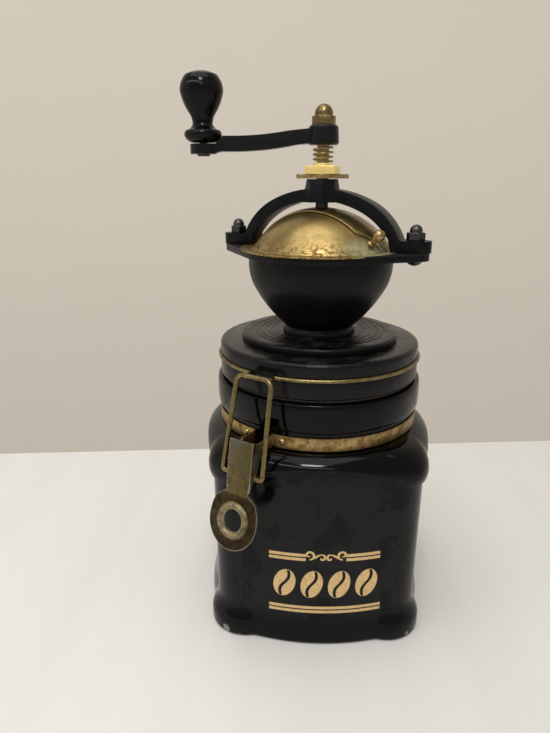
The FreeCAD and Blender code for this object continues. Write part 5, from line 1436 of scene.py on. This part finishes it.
class LabelPrint:
    """Two double rules, a small scroll and a row of coffee beans, all in pale gold."""

    def __init__(self, canister: Canister, sizes: LabelSizes = LabelSizes()) -> None:
        """Start an empty print.

        Args:
            canister: The canister that carries it.
            sizes: Its layout.
        """
        self.canister = canister
        self.size = sizes
        self.vertices: list[Vector] = []
        self.faces: list[tuple[int, ...]] = []

    def strip(self, left: Sequence[Point], right: Sequence[Point]) -> None:
        """Add a strip between two lines of points on the face.

        Args:
            left: Points of one line as (x, height).
            right: Points of the other.
        """
        start = len(self.vertices)
        for a, b in zip(left, right):
            for x, z in (a, b):
                self.vertices.append(self.canister.face_point(x, z, self.size.lift))
        for index in range(len(left) - 1):
            k = start + 2 * index
            self.faces.append((k, k + 1, k + 3, k + 2))

    def stroke(self, points: Sequence[Point], widths: Sequence[float]) -> None:
        """Add a brush stroke along points, with a width at each.

        Args:
            points: Points along it as (x, height).
            widths: Width at each point.
        """
        left, right = [], []
        for index, (x, z) in enumerate(points):
            before = points[max(index - 1, 0)]
            after = points[min(index + 1, len(points) - 1)]
            dx, dz = after[0] - before[0], after[1] - before[1]
            length = math.hypot(dx, dz) or 1.0
            nx, nz = -dz / length * widths[index] / 2, dx / length * widths[index] / 2
            left.append((x + nx, z + nz))
            right.append((x - nx, z - nz))
        self.strip(left, right)

    def rule(self, level: float, start: float, stop: float) -> None:
        """Add a double rule of two stripes.

        Args:
            level: Height of its middle.
            start: X of its start.
            stop: X of its end.
        """
        s = self.size
        xs = [start + (stop - start) * n / s.rule_steps for n in range(s.rule_steps + 1)]
        for shift, width in ((s.gap / 2 + s.stripe / 2, s.stripe), (-s.gap / 2 - s.stripe / 2, s.stripe)):
            self.stroke([(x, level + shift) for x in xs], [width] * len(xs))

    def curl(self, x: float, z: float, side: float, size: float, start: float, turns: float) -> None:
        """Add a volute that winds in towards (x, z).

        Args:
            x: X of its middle.
            z: Height of its middle.
            side: Sense of winding, 1 or -1.
            size: Radius at its start.
            start: Angle at its start.
            turns: How often it winds.
        """
        points, widths = [], []
        thin, swell = self.size.curl_width
        steps = self.size.curl_steps
        for index in range(steps + 1):
            share = index / steps
            angle = start + side * turns * 2 * math.pi * share
            radius = size * (1 - share) ** 0.8 + self.size.curl_eye
            points.append((x + radius * math.cos(angle), z + radius * math.sin(angle)))
            widths.append(thin + swell * math.sin(math.pi * min(share + 0.12, 1)) ** 0.7)
        self.stroke(points, widths)

    def scroll(self, side: float) -> None:
        """Add one half of the scroll: a volute at the rule's end, a wave inwards and a smaller volute.

        Args:
            side: 1 for the right half, -1 for the left.
        """
        s = self.size
        rise, size, turns = s.outer_curl
        outer = s.scroll_half - s.wave_end
        self.curl(s.centre + side * outer, s.upper + rise, -side, size, -QUARTER, turns)
        thin, swell = s.wave_width
        wave, widths = [], []
        for index in range(s.wave_steps + 1):
            share = index / s.wave_steps
            out = s.scroll_half - s.wave_end - share * (s.scroll_half - s.wave_start)
            level = s.upper - s.wave_drop + s.wave_rise * share * share * (3 - 2 * share)
            wave.append((s.centre + side * out, level))
            widths.append(thin + swell * math.sin(math.pi * share) ** 0.8)
        self.stroke(wave if side < 0 else wave[::-1], widths)
        place, size, turns = s.inner_curl
        self.curl(s.centre + side * place, s.upper, side, size, QUARTER, turns)

    def bean(self, x: float, z: float, width: float, height: float, lean: float) -> None:
        """Add a coffee bean: two halves of an oval with a curved gap.

        Args:
            x: X of its middle.
            z: Height of its middle.
            width: Width.
            height: Height.
            lean: How far it leans, in radians.
        """
        s = self.size
        steps = s.bean_steps
        turn = Matrix.Rotation(lean, 2)
        for side in (1, -1):
            outer, inner = [], []
            for index in range(steps + 1):
                angle = math.pi * index / steps
                share = math.cos(angle)
                groove = s.bean_curve * width * math.sin(math.pi * share) * 0.9
                half = width / 2 * math.sin(angle)
                edge = Vector((side * half, share * height / 2))
                middle = Vector((groove + side * min(s.bean_gap * width, half), share * height / 2 * 0.97))
                if side * middle.x > side * edge.x:
                    middle.x = edge.x
                outer.append(tuple(turn @ edge + Vector((x, z))))
                inner.append(tuple(turn @ middle + Vector((x, z))))
            if side > 0:
                self.strip(outer, inner)
            else:
                self.strip(inner, outer)

    def build(self) -> bpy.types.Object:
        """Build the print as one thin piece on the front face.

        Returns:
            The print.
        """
        s = self.size
        left, right = s.centre - s.half_width, s.centre + s.half_width
        self.rule(s.lower, left, right)
        self.rule(s.upper, left, s.centre - s.scroll_half)
        self.rule(s.upper, s.centre + s.scroll_half, right)
        for side in (1, -1):
            self.scroll(side)
        pitch = (2 * s.half_width - s.bean_width - s.bean_margin) / (s.beans - 1)
        for index in range(s.beans):
            x = s.centre + (index - (s.beans - 1) / 2) * pitch
            self.bean(x, s.bean_level, s.bean_width, s.bean_height, math.radians(s.bean_lean))
        piece = mesh_piece("front_print", self.vertices, self.faces, 60)
        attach(piece, "canister_body")
        return piece


@dataclass
class Strap:
    """The band round the neck with its rivets and rear bracket."""

    palette: Palette
    edge: float = 0.16

    def build(self) -> None:
        """Ease the edges of the band and the bracket."""
        self.plates = [rounded_copy(node, self.edge, "canister_body")
                       for node in ("neck_strap", "hinge_bracket")]

    def dress(self) -> None:
        """Finish the plates and the rivets."""
        for plate in self.plates:
            finish(plate, self.palette.strap)
        for node in ("strap_rivets", "hinge_rivets"):
            finish_node(node, self.palette.old_brass, 40)


@dataclass
class Clasp:
    """Lever, pin and wire loop."""

    palette: Palette
    edge: float = 0.22

    def build(self) -> None:
        """Ease the lever's stamped edges."""
        self.lever = rounded_copy("clasp_lever", self.edge, "lever")

    def dress(self) -> None:
        """Finish the lever, the pin and the loop."""
        finish(self.lever, self.palette.clasp)
        finish_node("lever_pin", self.palette.wire, 40)
        finish_node("clasp_loop", self.palette.wire, 60)


@dataclass
class Lid:
    """Bail wire, turned lid, spigot, rubber ring and grooved disc."""

    palette: Palette
    board_edge: float = 0.25
    disc_edge: float = 0.15

    def build(self) -> None:
        """Ease the turned edges."""
        self.board = rounded_copy("lid_board", self.board_edge, "lid", 3)
        self.disc = rounded_copy("turned_disc", self.disc_edge, "lid", 2, 20)

    def dress(self) -> None:
        """Finish the wood, the wire, the spigot and the seal."""
        finish(self.board, self.palette.lid_wood)
        finish(self.disc, self.palette.disc_wood)
        finish_node("bail_wire", self.palette.wire, 60)
        finish_node("lid_plug", self.palette.bare_wood, 30)
        finish_node("lid_gasket", self.palette.rubber, 30)


@dataclass
class Mill:
    """Bowl, burrs, shaft and lower bearing."""

    palette: Palette
    cast_edge: float = 0.3

    def build(self) -> None:
        """Ease the cast edges of the bowl."""
        self.bowl = rounded_copy("hopper_bowl", self.cast_edge, "lid", 3)

    def dress(self) -> None:
        """Finish the bowl and the working parts."""
        finish(self.bowl, self.palette.iron)
        for node in ("burr_ring", "burr_cone", "bearing_spider"):
            finish_node(node, self.palette.raw_iron, 30)
        finish_node("mill_screws", self.palette.steel, 30)
        finish_node("drive_shaft", self.palette.spindle, 30)
        finish_node("boss_bush", self.palette.old_brass, 30)


@dataclass
class Dome:
    """Brass cover, sliding door and its ball knob."""

    palette: Palette
    sheet_edge: float = 0.12

    def build(self) -> None:
        """Ease the sheet edges."""
        self.cover = rounded_copy("dome_cover", self.sheet_edge, "lid")
        self.door = rounded_copy("dome_door", self.sheet_edge, "door")

    def dress(self) -> None:
        """Finish the sheets and the knob."""
        finish(self.cover, self.palette.dome)
        finish(self.door, self.palette.dome)
        finish_node("door_knob", self.palette.old_brass, 50)


@dataclass
class Bridge:
    """Cast arch with its boss, bolts and cap nuts."""

    palette: Palette
    cast_edge: float = 0.45
    nut_edge: float = 0.2

    def build(self) -> None:
        """Ease the cast edges and the nuts' corners."""
        self.arch = rounded_copy("bridge", self.cast_edge, "lid", 3)
        self.nuts = rounded_copy("bridge_nuts", self.nut_edge, "lid")
        self.bolts = rounded_copy("bridge_bolts", self.nut_edge, "lid")

    def dress(self) -> None:
        """Finish the arch, the nuts and the bolts."""
        finish(self.arch, self.palette.iron)
        finish(self.nuts, self.palette.dark_nut)
        finish(self.bolts, self.palette.dark_nut)


@dataclass
class Crank:
    """Adjusting nut, locking plate, spring, crank, cap nut, pin and knob."""

    palette: Palette
    cast_edge: float = 0.6
    nut_edge: float = 0.25
    plate_edge: float = 0.2

    def build(self) -> None:
        """Ease the edges of the castings and nuts."""
        self.arm = rounded_copy("crank_arm", self.cast_edge, "spindle", 3)
        self.cap = rounded_copy("crank_nut", self.nut_edge, "spindle")
        self.nut = rounded_copy("adjusting_nut", self.nut_edge, "adjuster")
        self.plate = rounded_copy("locking_plate", self.plate_edge, "adjuster")

    def dress(self) -> None:
        """Finish the castings, the nuts and the turned and wound parts."""
        finish(self.arm, self.palette.crank_iron)
        finish(self.cap, self.palette.aged_nut)
        finish(self.nut, self.palette.nut)
        finish(self.plate, self.palette.old_brass)
        finish_node("spring", self.palette.old_brass, 70)
        finish_node("knob_pin", self.palette.steel, 35)
        finish_node("knob", self.palette.lacquer, 50)


# Studio


@dataclass(frozen=True)
class Viewpoint:
    """The camera as worked out from the photograph, in millimetres and degrees."""

    place: Place = (-9.8, -314.7, 241.3)
    down: float = 18.06
    left: float = 2.7
    focal_pixels: float = 575.0
    frame_height: float = 733.0
    sensor: float = 24.0


@dataclass(frozen=True)
class Lamp:
    """One soft rectangular light: places in millimetres, sides in metres, power in watts."""

    name: str
    place: Place
    target: Place
    size: tuple[float, float]
    power: float
    colour: Colour


@dataclass(frozen=True)
class Backdrop:
    """The table's far edge, and the wall and the ground beyond it, in millimetres."""

    left: Point = (-285.4, 152.8)
    right: Point = (234.8, 205.2)
    wall_behind: float = 260.0
    ground: float = -700.0
    reach: float = 3000.0
    wall_glow: Colour = (0.60, 0.54, 0.45)
    wall_share: float = 0.65
    ground_glow: Colour = (0.66, 0.64, 0.60)
    ground_share: float = 0.9


class Studio:
    """Table, wall, ground, lights and camera."""

    LAMPS = (
        Lamp("key", (-40, -560, 1060), (0, 0, 120), (0.2, 0.15), 3.0, (1.0, 0.97, 0.91)),
        Lamp("strip", (-420, -640, 900), (0, 0, 120), (1.6, 0.05), 3.0, (0.97, 0.98, 1.0)),
        Lamp("top", (-110, -60, 1100), (0, 60, 100), (0.9, 0.7), 3.2, (1.0, 0.97, 0.93)),
        Lamp("left", (-800, -150, 350), (0, 0, 120), (0.5, 0.8), 0.4, (0.95, 0.97, 1.0)))
    SURROUND: Colour = (1.0, 0.97, 0.93)
    SURROUND_LEVEL = 0.45

    def __init__(self, view: Viewpoint = Viewpoint(), backdrop: Backdrop = Backdrop()) -> None:
        """Keep the set-up."""
        self.view = view
        self.backdrop = backdrop

    def build(self) -> None:
        """Build table, wall, ground, lights and camera."""
        room = self.backdrop
        reach = room.reach
        near, far = Vector((*room.left, 0)), Vector((*room.right, 0))
        along = (far - near).normalized()
        middle = (near + far) / 2
        beyond = Vector((-along.y, along.x, 0))
        a, b = middle - along * reach, middle + along * reach
        front = beyond * 2 * reach
        foot = beyond * room.wall_behind + Vector((0, 0, room.ground))
        rise = Vector((0, 0, reach))
        low = [(-reach, -reach), (reach, -reach), (reach, reach), (-reach, reach)]
        floor = mesh_piece("floor", [a - front, b - front, b, a], [(0, 1, 2, 3)])
        back = mesh_piece("backdrop", [a + foot, b + foot, b + rise + foot, a + rise + foot], [(0, 1, 2, 3)])
        ground = mesh_piece("ground", [(x, y, room.ground) for x, y in low], [(0, 1, 2, 3)])
        self.paint(floor, back, ground)
        for lamp in self.LAMPS:
            self.light(lamp)
        self.surround()
        self.camera()

    def paint(self, floor: bpy.types.Object, back: bpy.types.Object, ground: bpy.types.Object) -> None:
        """Finish the table, the wall and the ground.

        Args:
            floor: The table's top.
            back: The wall.
            ground: The ground under the table.
        """
        room = self.backdrop
        finish(floor, Plain("table_top", (0.83, 0.82, 0.795), (0.79, 0.78, 0.755), rough=0.5,
                            patch_size=60.0, grain=0.02, stretch=(1, 0.06, 1)).paint())
        wall = Plain("wall_paint", (0.77, 0.72, 0.65), (0.75, 0.70, 0.63), rough=0.85,
                     patch_size=90.0).paint()
        self.open_behind(wall, room.wall_glow, room.wall_share)
        finish(back, wall)
        earth = Plain("ground_paint", (0.80, 0.79, 0.765), (0.78, 0.77, 0.745), rough=0.8,
                      patch_size=60.0, grain=0.02).paint()
        self.open_behind(earth, room.ground_glow, room.ground_share)
        finish(ground, earth)

    @staticmethod
    def open_behind(wall: bpy.types.Material, glow: Colour, share: float) -> None:
        """Even a wall or the ground out where it is looked at, and make it clear from its back.

        Args:
            wall: The wall's material, whose surface shader is kept for its front.
            glow: Even colour that is mixed in for what looks at the wall or mirrors it.
            share: How much of it is mixed in.
        """
        nodes, links = wall.node_tree.nodes, wall.node_tree.links
        output = next(node for node in nodes if node.type == "OUTPUT_MATERIAL")
        front = output.inputs["Surface"].links[0].from_socket
        clear, even, rays, sides, seen, part, mixed, blend = (
            nodes.new("ShaderNode" + kind) for kind in (
                "BsdfTransparent", "Emission", "LightPath", "NewGeometry", "Math", "Math", "MixShader",
                "MixShader"))
        even.inputs["Color"].default_value = (*glow, 1.0)
        seen.operation, part.operation = "MAXIMUM", "MULTIPLY"
        part.inputs[1].default_value = share
        links.new(rays.outputs["Is Camera Ray"], seen.inputs[0])
        links.new(rays.outputs["Is Glossy Ray"], seen.inputs[1])
        links.new(seen.outputs[0], part.inputs[0])
        for target, feeds in ((mixed, (part.outputs[0], front, even.outputs[0])),
                              (blend, (sides.outputs["Backfacing"], mixed.outputs[0], clear.outputs[0]))):
            for socket, feed in zip(target.inputs, feeds):
                links.new(feed, socket)
        links.new(blend.outputs[0], output.inputs["Surface"])

    @staticmethod
    def light(lamp: Lamp) -> None:
        """Add one area light.

        Args:
            lamp: Where it stands and how it shines.
        """
        data = bpy.data.lights.new(lamp.name, "AREA")
        data.shape = "RECTANGLE"
        data.size, data.size_y = lamp.size
        data.energy = lamp.power
        data.color = lamp.colour
        made = bpy.data.objects.new(lamp.name, data)
        bpy.context.scene.collection.objects.link(made)
        made.location = Vector(lamp.place) * MM
        heading = Vector(lamp.target) * MM - made.location
        made.rotation_euler = heading.to_track_quat("-Z", "Y").to_euler()

    def surround(self) -> None:
        """Set a soft even surround."""
        world = bpy.data.worlds.new("surround")
        world.use_nodes = True
        inputs = world.node_tree.nodes["Background"].inputs
        inputs["Color"].default_value = (*self.SURROUND, 1.0)
        inputs["Strength"].default_value = self.SURROUND_LEVEL
        bpy.context.scene.world = world
        bpy.context.scene.view_settings.view_transform = "Standard"

    def camera(self) -> None:
        """Add the camera at the photograph's viewpoint."""
        view = self.view
        data = bpy.data.cameras.new("camera")
        data.sensor_fit = "VERTICAL"
        data.sensor_height = view.sensor
        data.lens = view.sensor * view.focal_pixels / view.frame_height
        data.clip_start = 0.01
        made = bpy.data.objects.new("camera", data)
        bpy.context.scene.collection.objects.link(made)
        made.location = Vector(view.place) * MM
        made.rotation_euler = (math.radians(90 - view.down), 0, math.radians(view.left))
        bpy.context.scene.camera = made


def main() -> None:
    """Load the frame, build and dress every sub-assembly, set the studio and log each step."""
    logging.basicConfig(level=logging.INFO, format="%(name)s: %(message)s")
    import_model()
    palette = Palette()
    for kind in (Canister, Strap, Clasp, Lid, Mill, Dome, Bridge, Crank):
        part = kind(palette)
        part.build()
        part.dress()
        LOG.info("%s built and dressed", kind.__name__)
    Studio().build()
    LOG.info("studio set")


if __name__ == "__main__":
    main()
